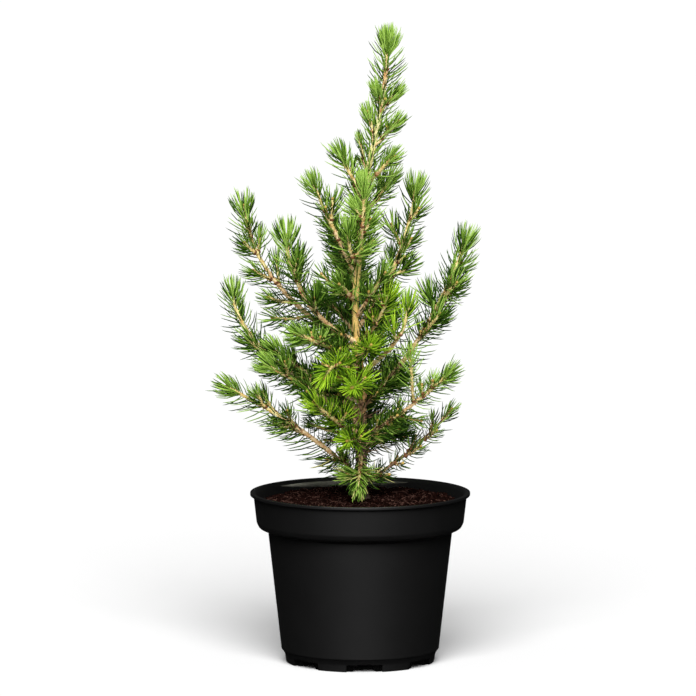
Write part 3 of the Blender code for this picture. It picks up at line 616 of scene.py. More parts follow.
def twenty_faces():
    """The corners and faces of a regular body of twenty triangles, of radius one."""
    corners = []
    for a in (-1, 1):
        for b in (-PHI, PHI):
            corners += [(0, a, b), (a, b, 0), (b, 0, a)]
    corners = unit(np.array(corners, dtype=float))
    apart = np.linalg.norm(corners[:, None] - corners[None], axis=2)
    near = (apart > 0.1) & (apart < 1.1)
    faces = []
    for i in range(12):
        for j in range(i + 1, 12):
            for k in range(j + 1, 12):
                if near[i, j] and near[j, k] and near[i, k]:
                    a, b, c = corners[[i, j, k]]
                    outward = np.cross(b - a, c - a) @ a > 0
                    faces.append((i, j, k) if outward else (i, k, j))
    return corners, np.array(faces)


def random_turns(rng, count):
    """Rotation matrices from random unit quaternions."""
    w, x, y, z = unit(rng.normal(size=(count, 4))).T
    rows = (
        (1 - 2 * (y * y + z * z), 2 * (x * y - z * w), 2 * (x * z + y * w)),
        (2 * (x * y + z * w), 1 - 2 * (x * x + z * z), 2 * (y * z - x * w)),
        (2 * (x * z - y * w), 2 * (y * z + x * w), 1 - 2 * (x * x + y * y)),
    )
    return np.stack([np.stack(row, axis=-1) for row in rows], axis=-2)


def scatter_on_soil(rng, count, edge):
    """Spots spread evenly over the round bed, out of the trunk's way."""
    radius = np.sqrt(rng.uniform((TRUNK_FREE_R / edge) ** 2, 1, count)) * edge
    angle = rng.uniform(0, 2 * math.pi, count)
    return radius * np.cos(angle), radius * np.sin(angle)


def make_crumbs(name, word, count, biggest, material):
    """Each crumb's corners are moved in or out by up to a quarter, then it is stretched along
    three axes, turned at random and sat on the soil. Small ones are the most common, because
    the size grows as a power of a random share."""
    rng = seeded(word)
    corners, faces = twenty_faces()
    x, y = scatter_on_soil(rng, count, SOIL_EDGE_R - CRUMBS_FROM_WALL)
    size = CRUMB_SMALLEST + (biggest - CRUMB_SMALLEST) * rng.uniform(0, 1, count) ** CRUMB_MOSTLY_SMALL
    shape = corners * (1 + rng.uniform(-CRUMB_KNOCKED, CRUMB_KNOCKED, (count, 12, 1)))
    shape = shape * (size[:, None] * rng.uniform(*CRUMB_SQUASH, (count, 3)))[:, None, :]
    shape = np.einsum("nij,nkj->nki", random_turns(rng, count), shape)
    z = soil_height(x, y) + size * rng.uniform(*CRUMB_SITS, count)
    points = shape + np.stack([x, y, z], axis=1)[:, None, :]
    every = faces[None] + 12 * np.arange(count)[:, None, None]
    crumbs = put_mesh(name, points.reshape(-1, 3), [every.reshape(-1, 3)], material, smooth=False)
    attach(crumbs, "root")


make_crumbs("soil_crumbs", "crumbs", CRUMBS, CRUMB_BIGGEST, FINISH["soil_crumb"])
make_crumbs("soil_pale_crumbs", "pale crumbs", PALE_CRUMBS, PALE_BIGGEST, FINISH["soil_pale"])

# %% Fibres: short bent threads lying on the soil
FIBRES = 620
FIBRE_SIDES = 4
FIBRE_ROWS = 6
FIBRE_LENGTH = (2.0, 6.5)
FIBRE_BOW = 0.18
FIBRE_R = 0.13
FIBRE_REST = 0.35
FIBRE_ARCH = 0.5
FIBRES_FROM_WALL = 5.0


def make_fibres():
    """Each thread is a bow: its middle follows half a sine wave to one side and another
    upwards, and its thickness swells as a third from next to nothing at both ends."""
    rng = seeded("fibres")
    x, y = scatter_on_soil(rng, FIBRES, SOIL_EDGE_R - FIBRES_FROM_WALL)
    heading = rng.uniform(0, 2 * math.pi, FIBRES)
    length = rng.uniform(*FIBRE_LENGTH, FIBRES)
    t = np.linspace(0, 1, FIBRE_ROWS)
    bow = rng.normal(0, FIBRE_BOW, FIBRES)[:, None] * length[:, None] * np.sin(math.pi * t)
    along = (t - 0.5) * length[:, None]
    cos, sin = np.cos(heading)[:, None], np.sin(heading)[:, None]
    px, py = x[:, None] + along * cos - bow * sin, y[:, None] + along * sin + bow * cos
    arch = FIBRE_ARCH * np.sin(math.pi * t) * rng.uniform(0, 1, FIBRES)[:, None]
    pz = soil_height(px, py) + FIBRE_REST + arch
    centre = np.stack([px, py, pz], axis=2)
    turn = 2 * math.pi * np.arange(FIBRE_SIDES) / FIBRE_SIDES
    thick = FIBRE_R * np.sin(math.pi * (0.08 + 0.84 * t))
    side = np.stack([-sin, cos, 0 * cos], axis=2)[:, :, None, :] * np.cos(turn)[:, None]
    up = np.array([0.0, 0.0, 1.0]) * np.sin(turn)[:, None]
    rings = centre[:, :, None, :] + thick[:, None, None] * (side + up)
    bundle = Bundle()
    for ring, ends in zip(rings, centre[:, [0, -1]]):
        bundle.add(*closed_grid(ring, ends[0], ends[1]))
    fibres = bundle.put("soil_fibres", FINISH["soil_pale"])
    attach(fibres, "root")


make_fibres()

# %% [markdown]
# ## The limbs' plan
#
# A spruce grows by one rule at every scale: a stem runs on at its tip and sends shoots out
# to both sides, each at about fifty degrees and shorter the nearer it is to the tip. This is
# the rule that laid out the solids, with the same measures and the same seeds, so every
# stem below runs along the stem of its own solid. A seeded rule needs a line of numbers
# a shoot, where a sculpted crown would need thousands of points.

# %% The trunk's bends
Bend = namedtuple("Bend", "height x y radius")
TRUNK_FOOT_Z = SOIL_EDGE_Z + SOIL_DOME + CLEAR
TRUNK_TIP_Z = 313.0
TRUNK_BENDS = (
    Bend(TRUNK_FOOT_Z, 0.5, 0.0, 4.3),
    Bend(96.0, 0.5, 0.1, 3.0),
    Bend(127.0, 0.6, 0.5, 2.5),
    Bend(149.0, 1.0, 0.0, 2.2),
    Bend(168.0, -0.8, -1.0, 1.9),
    Bend(188.0, -2.6, -0.5, 1.75),
    Bend(209.0, -2.0, 0.6, 1.7),
    Bend(226.0, -0.4, 1.0, 1.65),
    Bend(248.0, 1.8, 0.6, 1.35),
    Bend(267.0, 3.8, 0.0, 1.3),
    Bend(281.0, 6.8, -0.6, 1.25),
    Bend(297.0, 10.0, -1.0, 1.1),
    Bend(TRUNK_TIP_Z, 12.8, -0.4, 1.0),
)
BENDS = np.array(TRUNK_BENDS, dtype=float)


def eased_between(values, heights, z):
    """A cubic between each pair of bends whose slope at a bend is the mean slope there."""
    z = np.asarray(z, dtype=float)
    i = np.clip(np.searchsorted(heights, z) - 1, 0, len(heights) - 2)
    slopes = np.gradient(values, heights)
    width = heights[i + 1] - heights[i]
    t = (z - heights[i]) / width
    return (
        values[i] * (1 + 2 * t) * (1 - t) ** 2
        + slopes[i] * width * t * (1 - t) ** 2
        + values[i + 1] * t**2 * (3 - 2 * t)
        + slopes[i + 1] * width * t**2 * (t - 1)
    )


def trunk_at(z):
    """Centre and radius of the trunk at one height or many."""
    x = eased_between(BENDS[:, 1], BENDS[:, 0], z)
    y = eased_between(BENDS[:, 2], BENDS[:, 0], z)
    return np.stack([x, y, z + 0 * x], axis=-1), np.interp(z, BENDS[:, 0], BENDS[:, 3])


# %% The shoots: where each leaves the trunk, its heading, length and rise
Shoot = namedtuple(
    "Shoot", "height heading swing length rise tip_rise bend bare sides side_length"
)
SHOOTS = {
    "low_left": Shoot(100.5, 187, 0, 92, 43, 27, 1, 0.24, 4, 21),
    "outer_left": Shoot(137.0, 175, 0, 103, 28, 89, 3, 0.30, 4, 20),
    "tall_left": Shoot(170.0, 167, -2, 107, 33, 86, 2, 0.30, 5, 21),
    "front_left": Shoot(175.5, 199, 1, 78, 23, 88, 1, 0.22, 3, 17),
    "shelf_left": Shoot(129.0, 197, 0, 67, 40, 27, 1, 0.26, 3, 19),
    "low_right": Shoot(97.5, 6, 0, 66, 28, 50, 1, 0.25, 3, 17),
    "forked_right": Shoot(122.5, 341, 0, 67, 30, 44, 1, 0.45, 1, 14),
    "big_right": Shoot(139.0, 354, 0, 111, 45, 72, 1, 0.30, 5, 21),
    "inner_right": Shoot(182.0, 23, 1, 87, 48, 82, 1, 0.26, 4, 16),
    "pale_right": Shoot(158.5, 317, 0, 58, 31, 84, 2, 0.42, 1, 13),
    "tall_rear": Shoot(160.0, 100, 0, 86, 32, 72, 1, 0.24, 5, 21),
    "upper_shelf": Shoot(141.5, 184, 0, 60, 26, 38, 1, 0.0, 3, 15),
    "low_front_left": Shoot(164.0, 221, 0, 52, 27, 20, 1, 0.0, 2, 15),
    "droop": Shoot(161.0, 243, 2, 48, 17, -33, 2, 0.0, 1, 13),
    "star_front": Shoot(153.0, 262, 0, 40, 8, -1, 1, 0.0, 2, 14),
    "star_left": Shoot(125.0, 235, 0, 52, 17, 36, 1, 0.0, 3, 15),
    "star_low": Shoot(120.0, 256, 0, 34, 16, 3, 1, 0.0, 2, 13),
    "foot_front": Shoot(115.0, 266, 0, 33, -34, -36, 1, 0.0, 1, 12),
    "short_right": Shoot(188.5, 317, 0, 36, 48, 53, 1, 0.0, 1, 12),
    "short_low_right": Shoot(173.0, 329, 0, 39, 44, 68, 1, 0.0, 1, 13),
    "small_front": Shoot(166.5, 284, 0, 30.5, 17, 26, 1, 0.0, 1, 12),
    "upper_left": Shoot(211.0, 195, 0, 59, 63, 66, 1, 0.0, 2, 15),
    "upper_left_small": Shoot(251.0, 166, 0, 32, 65, 62, 1, 0.0, 0, 0),
    "front_up": Shoot(223.5, 281, 0, 45, 52, 86, 1, 0.0, 2, 12),
    "knob_left": Shoot(219.0, 253, 1, 32, 5, 88, 1, 0.0, 0, 0),
    "knob_low_left": Shoot(197.5, 249, 0, 29, 29, 24, 1, 0.0, 1, 12),
    "rear_left": Shoot(179.5, 123, 0, 42, 33, 22, 1, 0.0, 2, 15),
    "rear_mid_left": Shoot(133.0, 140, 0, 56, 24, 22, 1, 0.0, 3, 16),
    "rear_low_left": Shoot(121.5, 140, 0, 40, 9, 8, 1, 0.0, 2, 14),
    "rear_low_right": Shoot(119.0, 47, 0, 35, 5, 23, 1, 0.0, 2, 14),
    "rear_mid_right": Shoot(146.5, 55, 0, 42, 3, 14, 1, 0.0, 2, 15),
    "rear_foot": Shoot(108.0, 84, 0, 60, 22, 42, 1, 0.0, 3, 17),
    "rear_mid": Shoot(127.0, 104, 0, 70, 28, 52, 1, 0.0, 3, 18),
    "rear_right": Shoot(150.0, 74, 0, 74, 30, 62, 1, 0.0, 4, 18),
    "rear_upper": Shoot(188.0, 88, 0, 56, 44, 74, 1, 0.0, 2, 15),
    "rear_high_left": Shoot(206.0, 128, 0, 38, 50, 66, 1, 0.0, 1, 13),
    "rear_high": Shoot(230.0, 96, 0, 34, 52, 66, 1, 0.0, 1, 12),
    "crown_rear_right": Shoot(244.0, 45, 0, 33, 40, 44, 1, 0.0, 1, 12),
    "crown_right": Shoot(259.5, 321, 0, 29, 48, 38, 1, 0.0, 0, 0),
    "crown_rear": Shoot(268.0, 112, 0, 24, 50, 62, 1, 0.0, 0, 0),
    "top_right": Shoot(282.0, 347, 0, 21.5, 44, 48, 1, 0.0, 0, 0),
    "top_left": Shoot(283.5, 222, 0, 20, 83, 68, 1, 0.0, 0, 0),
    "tip_right": Shoot(300.5, 331, 0, 18.5, 56, 39, 1, 0.0, 0, 0),
    "tip_left": Shoot(304.0, 232, 0, 13, 60, 66, 1, 0.0, 0, 0),
}
LEADER = Shoot(TRUNK_TIP_Z + CLEAR, 5, 0, 28, 82, 89, 1, 0.0, 0, 0)
MASSES = dict(SHOOTS, leader=LEADER)

# %% Side shoots that the plant clearly has
Fork = namedtuple("Fork", "share turn rise length")
FORKS = {
    "forked_right": (Fork(0.56, -81, 58, 34),),
    "low_left": (Fork(0.72, 35, 40, 14), Fork(0.50, -20, 0, 15)),
    "outer_left": (Fork(0.62, 20, 25, 14),),
    "tall_left": (Fork(0.42, 28, 2, 17), Fork(0.58, 30, 15, 15), Fork(0.74, 35, 30, 12)),
    "inner_right": (Fork(0.40, -25, 22, 15), Fork(0.62, 150, 55, 15)),
    "big_right": (Fork(0.50, -40, 30, 18), Fork(0.62, 140, 48, 12), Fork(0.82, 30, 40, 10)),
    "low_right": (Fork(0.42, -30, 20, 14),),
    "foot_front": (Fork(0.16, 25, -44, 26),),
    "upper_left": (Fork(0.58, 160, 84, 15),),
}

# %% Paths of shoots
TWIG_R = 1.15
TWIG_TIP_R = 0.75
LONG_SHOOT_ADDS = 0.2
BOUGH_R = 1.7
BOUGH_STEP = 7.0
STATION = 4.0
BUD = 2.4
SIDE_ANGLE = 50.0
SIDE_ROLL = 35.0
SIDE_CLIMB = 20.0
SIDE_ANGLE_NOISE = 8.0
STEEPEST = 88.0
TWIG_SPACING = 3.0
SIDES_APART = 5.0
PATH_STEPS = 60


def arc(start, heading, swing, length, rise, tip_rise, bend, count):
    """Points along a shoot and its direction at each: the heading swings and the rise goes
    from its first to its last angle as the share of the length to the power `bend`."""
    fine = 8
    steps = count * fine
    share = (np.arange(steps) + 0.5) / steps
    turn = np.radians(heading + swing * share)
    lift = np.radians(rise + (tip_rise - rise) * share**bend)
    step = np.stack([np.cos(turn) * np.cos(lift), np.sin(turn) * np.cos(lift), np.sin(lift)], axis=1)
    path = np.vstack([start, start + np.cumsum(step, axis=0) * length / steps])
    return path[::fine], np.vstack([step[::fine], step[-1]])


def pick_along(at, points):
    """Rows of an array read at fractional places, by straight lines between the rows."""
    rows = range(len(points))
    return np.stack([np.interp(at, rows, points[:, k]) for k in range(3)], axis=-1)


def count_for(length):
    """How many stretches of about STATION a shoot has, without its bud."""
    return max(2, round((length - BUD) / STATION))


def shoot_path(shoot, start, share=0.0):
    """A shoot's path and directions from a share of its length to its tip, less the bud."""
    path, directions = arc(
        start, shoot.heading, shoot.swing, shoot.length - BUD,
        shoot.rise, shoot.tip_rise, shoot.bend, PATH_STEPS,
    )
    at = np.linspace(share * PATH_STEPS, PATH_STEPS, count_for(shoot.length * (1 - share)) + 1)
    return pick_along(at, path), unit(pick_along(at, directions))


def side_arc(start, direction, length):
    """A side shoot that leaves in a direction and turns upwards."""
    heading = math.degrees(math.atan2(direction[1], direction[0]))
    rise = math.degrees(math.asin(float(np.clip(direction[2], -1, 1))))
    tip_rise = min(rise + SIDE_CLIMB, max(STEEPEST, rise))
    return arc(start, heading, 0, length - BUD, rise, tip_rise, 1, count_for(length))


# %% Directions of side shoots
def level_side(heading):
    """The level unit vector to the left of a heading in radians."""
    return np.array([-math.sin(heading), math.cos(heading), 0.0])


def fork_direction(shoot, fork):
    """The fork's heading is the shoot's plus its own turn, and its rise is its own."""
    heading = math.radians(shoot.heading + fork.turn)
    rise = math.radians(fork.rise)
    level = math.cos(rise)
    return np.array([math.cos(heading) * level, math.sin(heading) * level, math.sin(rise)])


def side_direction(direction, rng, left, roll_most=SIDE_ROLL):
    """A direction at SIDE_ANGLE from the shoot, to one side of it, rolled up or down."""
    side = level_side(math.atan2(direction[1], direction[0]))
    side = unit(side - direction * (side @ direction))
    up = np.cross(direction, side)
    roll = math.radians(rng.uniform(-roll_most, roll_most))
    angle = math.radians(SIDE_ANGLE + rng.uniform(-SIDE_ANGLE_NOISE, SIDE_ANGLE_NOISE))
    across = math.cos(roll) * side * (1 if left else -1) - math.sin(roll) * up
    return math.cos(angle) * direction + math.sin(angle) * across


# %% Gaps between limbs
def rod_gaps(a, b, radius, rods):
    """The smallest gap from one round rod to many: the distance between the nearest points
    of the two middle lines, less both radii."""
    d1, d2, between = b - a, rods[:, 3:6] - rods[:, 0:3], a - rods[:, 0:3]
    len1, len2 = d1 @ d1, (d2 * d2).sum(axis=1)
    across, along1, along2 = d2 @ d1, between @ d1, (between * d2).sum(axis=1)
    spread = np.maximum(len1 * len2 - across**2, 1e-9)
    s = np.clip((across * along2 - along1 * len2) / spread, 0, 1)
    t = np.clip((across * s + along2) / len2, 0, 1)
    s = np.clip((across * t - along1) / len1, 0, 1)
    apart = between + s[:, None] * d1 - t[:, None] * d2
    return float((np.linalg.norm(apart, axis=1) - radius - rods[:, 6] - (rods[:, 7] - rods[:, 6]) * t).min())


def gap_to(path, radii, rods):
    """The smallest gap from a limb, taken as rods from point to point, to many rods."""
    return min(rod_gaps(a, b, r, rods) for a, b, r in zip(path, path[1:], radii))


def beside_any(path, others, apart):
    """True where a point of the path, past its root, is too near such a point of another."""
    return any(np.linalg.norm(p[1:, None] - path[None, 1:], axis=2).min() < apart for p in others)


def limb_rods(path, radii, mass):
    """One row for each stretch of a limb: its two ends, two radii and its mass."""
    owner = np.full(len(path) - 1, mass)
    return np.column_stack([path[:-1], path[1:], radii[:-1], radii[1:], owner])


# %% Boughs and main stems
Limb = namedtuple("Limb", "mass order path aims radii")
TRUNK, WOOD = -1, -2


def plan_mains():
    """For each shoot, the bare bough where it has one, and the stem of its mass of needles."""
    boughs, mains = {}, []
    for number, (name, shoot) in enumerate(MASSES.items()):
        start = trunk_at(min(shoot.height, TRUNK_TIP_Z))[0]
        if shoot is LEADER:
            start = start + [0, 0, CLEAR]
        share = shoot.bare
        root_r = TWIG_R + LONG_SHOOT_ADDS * min(shoot.length, 100) / 100
        if shoot.bare:
            path, aims = shoot_path(shoot, start)
            steps = max(3, round(shoot.length * shoot.bare / BOUGH_STEP))
            at = np.linspace(0, shoot.bare * (len(path) - 1), steps + 1)
            radii = np.linspace(BOUGH_R, root_r, steps + 1)
            boughs[name] = Limb(number, 0, pick_along(at, path), unit(pick_along(at, aims)), radii)
            share += CLEAR / shoot.length
        path, aims = shoot_path(shoot, start, share)
        mains.append(Limb(number, 1, path, aims, np.linspace(root_r, TWIG_TIP_R, len(path))))
    return boughs, mains


BOUGHS, MAINS = plan_mains()
print(len(BOUGHS), "boughs and", len(MAINS), "main stems")

# %% Side shoots by the seeded rule
SIDES_FROM = 0.14
SIDES_OVER = 0.66
MIDDLE_PART = (0.2, 0.8)
SIDE_SIZES = (0.85, 1.1)
SIDE_SLIM = 0.85


def wanted_sides(name, shoot, main):
    """Place, direction and length of every side shoot: the forks first, then as many as the
    shoot has, left and right in turn, evenly spaced and shorter the nearer to the tip."""
    rng = random.Random(f"{SEED}-{name}")
    for fork in FORKS.get(name, ()):
        yield (fork.share - shoot.bare) / (1 - shoot.bare), fork_direction(shoot, fork), fork.length
    left = rng.random() < 0.5
    for k in range(shoot.sides):
        share = SIDES_FROM + SIDES_OVER * (k + rng.uniform(*MIDDLE_PART)) / shoot.sides
        i = min(int(share * (len(main.path) - 1)), len(main.path) - 2)
        direction = side_direction(main.aims[i], rng, left)
        yield share, direction, shoot.side_length * (1.15 - 0.6 * share) * rng.uniform(*SIDE_SIZES)
        left = not left


def plan_sides():
    """The side shoots that keep clear of every limb of another mass and of their siblings."""
    heights = [TRUNK_FOOT_Z, TRUNK_FOOT_Z + 1.5, TRUNK_FOOT_Z + 3.5]
    heights = np.array(heights + list(np.linspace(TRUNK_FOOT_Z + 6.5, TRUNK_TIP_Z, 23)))
    rods = [limb_rods(*trunk_at(heights), TRUNK)]
    rods += [limb_rods(bough.path, bough.radii, WOOD) for bough in BOUGHS.values()]
    rods += [limb_rods(main.path, main.radii, main.mass) for main in MAINS]
    table = np.vstack(rods)
    sides = []
    for number, (name, shoot) in enumerate(MASSES.items()):
        main = MAINS[number]
        own = []
        for share, direction, length in list(wanted_sides(name, shoot, main)):
            at = float(np.clip(share, 0.05, 0.9)) * (len(main.path) - 1)
            path, aims = side_arc(pick_along(at, main.path), direction, length)
            radii = np.linspace(TWIG_R * SIDE_SLIM, TWIG_TIP_R, len(path))
            in_the_way = gap_to(path, radii, table[table[:, 8] != number]) < TWIG_SPACING
            too_low = path[:, 2].min() < POT_HEIGHT + 2
            if too_low or in_the_way or beside_any(path, own, SIDES_APART):
                continue
            own.append(path)
            table = np.vstack([table, limb_rods(path, radii, number)])
            sides.append(Limb(number, 2, path, aims, radii))
    return sides, table


SIDES, RODS = plan_sides()
print(len(SIDES), "side shoots")

# %% [markdown]
# ## Finer twigs
#
# The solids stop at two orders of stem, because each needle there costs a boolean union.
# A real shoot is busier: short third-order sprigs fill the gaps along it. They follow the
# same rule with their own seed, they are shorter than a needle's reach, and one that would
# run into another limb is left out, so the outline stays that of the solid. A few longer
# ones follow, each with measures of its own, where the rule leaves a hole in the crown.

# %% Third-order sprigs
SPRIG_LENGTH = (5.0, 9.5)
SPRIG_EVERY = 26.0
SPRIG_EVERY_INSIDE = 7.0
SPRIG_EVERY_BOUGH = {
    "big_right": 4.0, "forked_right": 4.0, "inner_right": 7.0, "shelf_left": 4.5, "tall_left": 5.5,
    "front_left": 5.0, "outer_left": 5.5, "low_right": 3.5, "low_left": 6.0,
}
INSIDE = {
    "rear_left", "rear_mid_left", "rear_low_left", "rear_low_right", "rear_mid_right", "rear_foot",
    "rear_mid", "rear_right", "rear_upper", "tall_rear", "upper_shelf", "low_front_left",
    "star_left", "droop", "short_low_right", "small_front", "rear_high_left", "forked_right",
    "shelf_left",
}
SPRIGLESS = {"low_right", "pale_right", "low_left", "outer_left", "leader", "rear_low_left"}
MASS_NAMES = list(MASSES)
SPRIG_ROLL = 80.0
SPRIG_R = (0.8, 0.6)
SPRIG_GAP = 1.2
SPRIG_APART = 3.5
SPRIGS_FROM = 0.16
SPRIGS_OVER = 0.64


def side_start(limb, share):
    """Point and direction on a limb at a share of its length."""
    at = share * (len(limb.path) - 1)
    return pick_along(at, limb.path), unit(pick_along(at, limb.aims))


def sprig_spacing(limb, name):
    """Millimetres of limb for each sprig: few on the outer shoots, more inside the crown and
    behind, most on the boughs that pass through it."""
    if limb.order == 0:
        return SPRIG_EVERY_BOUGH.get(name)
    if name in SPRIGLESS:
        return None
    return SPRIG_EVERY_INSIDE if name in INSIDE else SPRIG_EVERY


def plan_sprigs(limbs, rods):
    """Short shoots spaced along every limb that is long enough, left and right in turn."""
    sprigs = []
    for number, limb in enumerate(limbs):
        rng = random.Random(f"{SEED}-sprig-{number}")
        name = MASS_NAMES[limb.mass]
        every = sprig_spacing(limb, name)
        if not every:
            continue
        count = round(gaps_along(limb.path).sum() / every)
        left = rng.random() < 0.5
        others = rods[(rods[:, 8] != limb.mass) & ~np.isin(rods[:, 0], limb.path[:, 0])]
        own = [other.path for other in limbs if other.mass == limb.mass and other.order == 2]
        for k in range(count):
            share = SPRIGS_FROM + SPRIGS_OVER * (k + rng.uniform(*MIDDLE_PART)) / count
            start, aim = side_start(limb, share)
            inside = limb.order == 0 or name in INSIDE
            direction = side_direction(aim, rng, left, SPRIG_ROLL if inside else SIDE_ROLL)
            left = not left
            path, aims = side_arc(start, direction, rng.uniform(*SPRIG_LENGTH))
            radii = np.linspace(*SPRIG_R, len(path))
            in_the_way = gap_to(path, radii, others) < SPRIG_GAP
            too_low = path[:, 2].min() < POT_HEIGHT + 1
            if too_low or in_the_way or beside_any(path, own, SPRIG_APART):
                continue
            own.append(path)
            sprigs.append(Limb(limb.mass, 3, path, aims, radii))
    return sprigs


SPRIGS = plan_sprigs(MAINS + SIDES + list(BOUGHS.values()), RODS)
print(len(SPRIGS), "sprigs")

# %% A few longer sprigs where the photograph shows needles between the solids
ADDED = {
    "tall_left": (Fork(0.32, 8, -14, 22),),
    "knob_low_left": (Fork(0.05, -64, 29, 25),),
    "rear_low_right": (Fork(0.70, -20, -30, 12),),
    "upper_shelf": (Fork(0.35, 0, 55, 12),),
    "front_up": (Fork(0.04, 70, 28, 11),),
    "forked_right": (Fork(0.40, 15, -26, 14), Fork(0.36, -20, 62, 10)),
    "low_right": (Fork(0.29, 50, 20, 10), Fork(0.33, -60, -4, 10)),
}


def plan_added():
    """Sprigs with a place, a turn, a rise and a length of their own."""
    added = []
    for name, forks in ADDED.items():
        shoot = MASSES[name]
        path, _ = shoot_path(shoot, trunk_at(shoot.height)[0])
        for fork in forks:
            start = pick_along(fork.share * (len(path) - 1), path)
            line, aims = side_arc(start, fork_direction(shoot, fork), fork.length)
            radii = np.linspace(*SPRIG_R, len(line))
            added.append(Limb(MASS_NAMES.index(name), 3, line, aims, radii))
    return added


SPRIGS += plan_added()
print(len(SPRIGS), "sprigs with those added")

# %% [markdown]
# ## Bark and stems
#
# Spruce wood is easy to tell by touch: every needle stands on a woody peg, and the pegs run
# down the twig as ridges, so even a bare shoot is rough. On the old trunk the pegs weather
# into flakes. Each limb is a tube along its own path whose radius is rippled by two sets of
# spirals that cross, five turning one way and eight the other. Where both crest there is a
# peg. The relief is in the mesh, and the fine grain is left to the material.

# %% Smooth lines along limbs
def finer(limb, step):
    """The limb's points, aims and radii about every `step`: between two points the line is a
    cubic that leaves and arrives in the directions that the limb has there."""
    gaps = gaps_along(limb.path)
    count = max(3, int(math.ceil(gaps.sum() / step)) + 1)
    at = np.linspace(0, len(limb.path) - 1, count)
    i = np.minimum(at.astype(int), len(limb.path) - 2)
    t = (at - i)[:, None]
    a, b, gap = limb.path[i], limb.path[i + 1], gaps[i][:, None]
    u, v = limb.aims[i] * gap, limb.aims[i + 1] * gap
    path = (1 + 2 * t) * (1 - t) ** 2 * a + t * (1 - t) ** 2 * u
    path = path + t**2 * (3 - 2 * t) * b - t**2 * (1 - t) * v
    aims = unit(limb.aims[i] * (1 - t) + limb.aims[i + 1] * t)
    return path, aims, np.interp(at, range(len(limb.radii)), limb.radii)


def frames_along(aims):
    """Two unit vectors across each direction: one kept level with the limb's own heading."""
    side = level_side(math.atan2(aims[0, 1], aims[0, 0]))
    across = unit(side - aims * (aims @ side)[:, None])
    return across, np.cross(aims, across)


def limb_skin(path, aims, radii, sides, ripple):
    """Rings round a path, each radius grown by ripple(distance along, angle)."""
    across, up = frames_along(aims)
    angle = round_angles(sides)
    along = np.r_[0, np.cumsum(gaps_along(path))]
    reach = radii[:, None] + ripple(along[:, None], angle[None, :])
    ring = across[:, None] * np.cos(angle)[:, None] + up[:, None] * np.sin(angle)[:, None]
    return path[:, None] + reach[:, :, None] * ring


def peg_ripple(height, pitch):
    """A ripple of a height, in millimetres, whose pegs repeat after a pitch. Two sets of
    spirals cross, of five and eight starts, and it is the product of their waves and a
    fainter, steeper set of eight that joins the pegs into ridges."""
    def ripple(along, angle):
        """What the radius gains at a distance along the limb and an angle round it."""
        rising = np.cos(5 * angle + 2 * math.pi * along / pitch)
        falling = np.cos(8 * angle - 2 * math.pi * along / (1.7 * pitch))
        return height * (0.6 * rising * falling + 0.4 * np.cos(8 * angle - math.pi * along / pitch))
    return ripple


# %% The trunk
TRUNK_SIDES = 56
TRUNK_STEP = 0.55
TRUNK_SINK = 1.4
FOOT_WIDER = 1.03
ROOT_SWELL = 0.352
ROOT_REACH = 3.0
PEG_SWELL = 0.22
SWELL_Z = 195.0
SWELL_REACH = 55.0
TRUNK_PEGS = (0.16, 2.6)
FLAKES_WHOLE = 20.0
FLAKE_TOP_Z = 185.0
FLAKE_WAVES = 28
FLAKE_HEIGHT = 0.19
FLAKE_LIMITS = (-0.40, 0.62)


def bark_ripple(along, angle):
    """Flakes on the old wood, which are random waves added up and clipped, and which fade
    into the pegs of the young wood higher up."""
    rng = seeded("flakes")
    old = 1 - eased((along - FLAKES_WHOLE) / (FLAKE_TOP_Z - TRUNK_FOOT_Z))
    flakes = 0
    for _ in range(FLAKE_WAVES):
        turns, rate = rng.integers(1, 12), rng.uniform(0.25, 2.2)
        wave = np.sin(turns * angle + rate * along + rng.uniform(0, 2 * math.pi))
        flakes = flakes + wave * FLAKE_HEIGHT * rng.uniform(0.4, 1.0)
    pegs = peg_ripple(*TRUNK_PEGS)(along, angle)
    return old * np.clip(flakes, *FLAKE_LIMITS) + (1 - 0.6 * old) * pegs


def make_trunk(material):
    """Rings up the trunk's bends, sunk a little in the soil at the foot. There three low
    roots swell it: a sine of three times the angle that fades as an exponential upwards."""
    count = int((TRUNK_TIP_Z - TRUNK_FOOT_Z) / TRUNK_STEP)
    z = np.linspace(TRUNK_FOOT_Z, TRUNK_TIP_Z, count)
    path, radii = trunk_at(z)
    radii = radii * (1 + PEG_SWELL * eased((z - SWELL_Z) / SWELL_REACH))
    foot = path[0] - [0, 0, TRUNK_SINK]
    path, radii = np.vstack([foot, path]), np.r_[radii[0] * FOOT_WIDER, radii]
    aims = unit(np.gradient(path, axis=0))
    fade = np.exp(-(path[:, 2] - TRUNK_FOOT_Z) / ROOT_REACH)[:, None]
    flare = ROOT_SWELL * np.sin(3 * round_angles(TRUNK_SIDES) + 0.7)[None, :] * fade
    skin = limb_skin(path, aims, radii, TRUNK_SIDES, lambda s, a: bark_ripple(s, a) + flare)
    trunk = put_mesh("trunk_bark", *closed_grid(skin, path[0], path[-1]), material)
    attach(trunk, "root")
    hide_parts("trunk")


# %% The trunk's finish goes from grey-brown at the foot to tan and straw at the tip
TRUNK_COLOURS = (
    (90.0, (0.055, 0.036, 0.026)),
    (114.0, (0.16, 0.10, 0.064)),
    (142.0, (0.36, 0.215, 0.115)),
    # From 165 mm up the colours are near white: the young wood's pale tan, brightened as painted light
    # against the needles' shade.
    (165.0, (0.95, 0.60, 0.19)),
    (230.0, (0.97, 0.77, 0.26)),
    (275.0, (0.97, 0.84, 0.36)),
    (300.0, (0.97, 0.92, 0.46)),
)
TRUNK_ROUGHNESS = 0.82
TRUNK_SPECULAR = 0.3
BLUR = 0.30
BLUR_SCALE = 330.0
BLUR_DETAIL = 5.0
BARK_GRAIN = (0.15, 1500.0)
SCAR_SCALE = 620.0
SCAR_DETAIL = 3.0
SCAR_SHADE = (0.34, 0.26, 0.22)
SCAR_STOPS = (0.38, 0.51)
SCARS_FADE = (140.0, 185.0)
SCARS_LEFT = 0.3


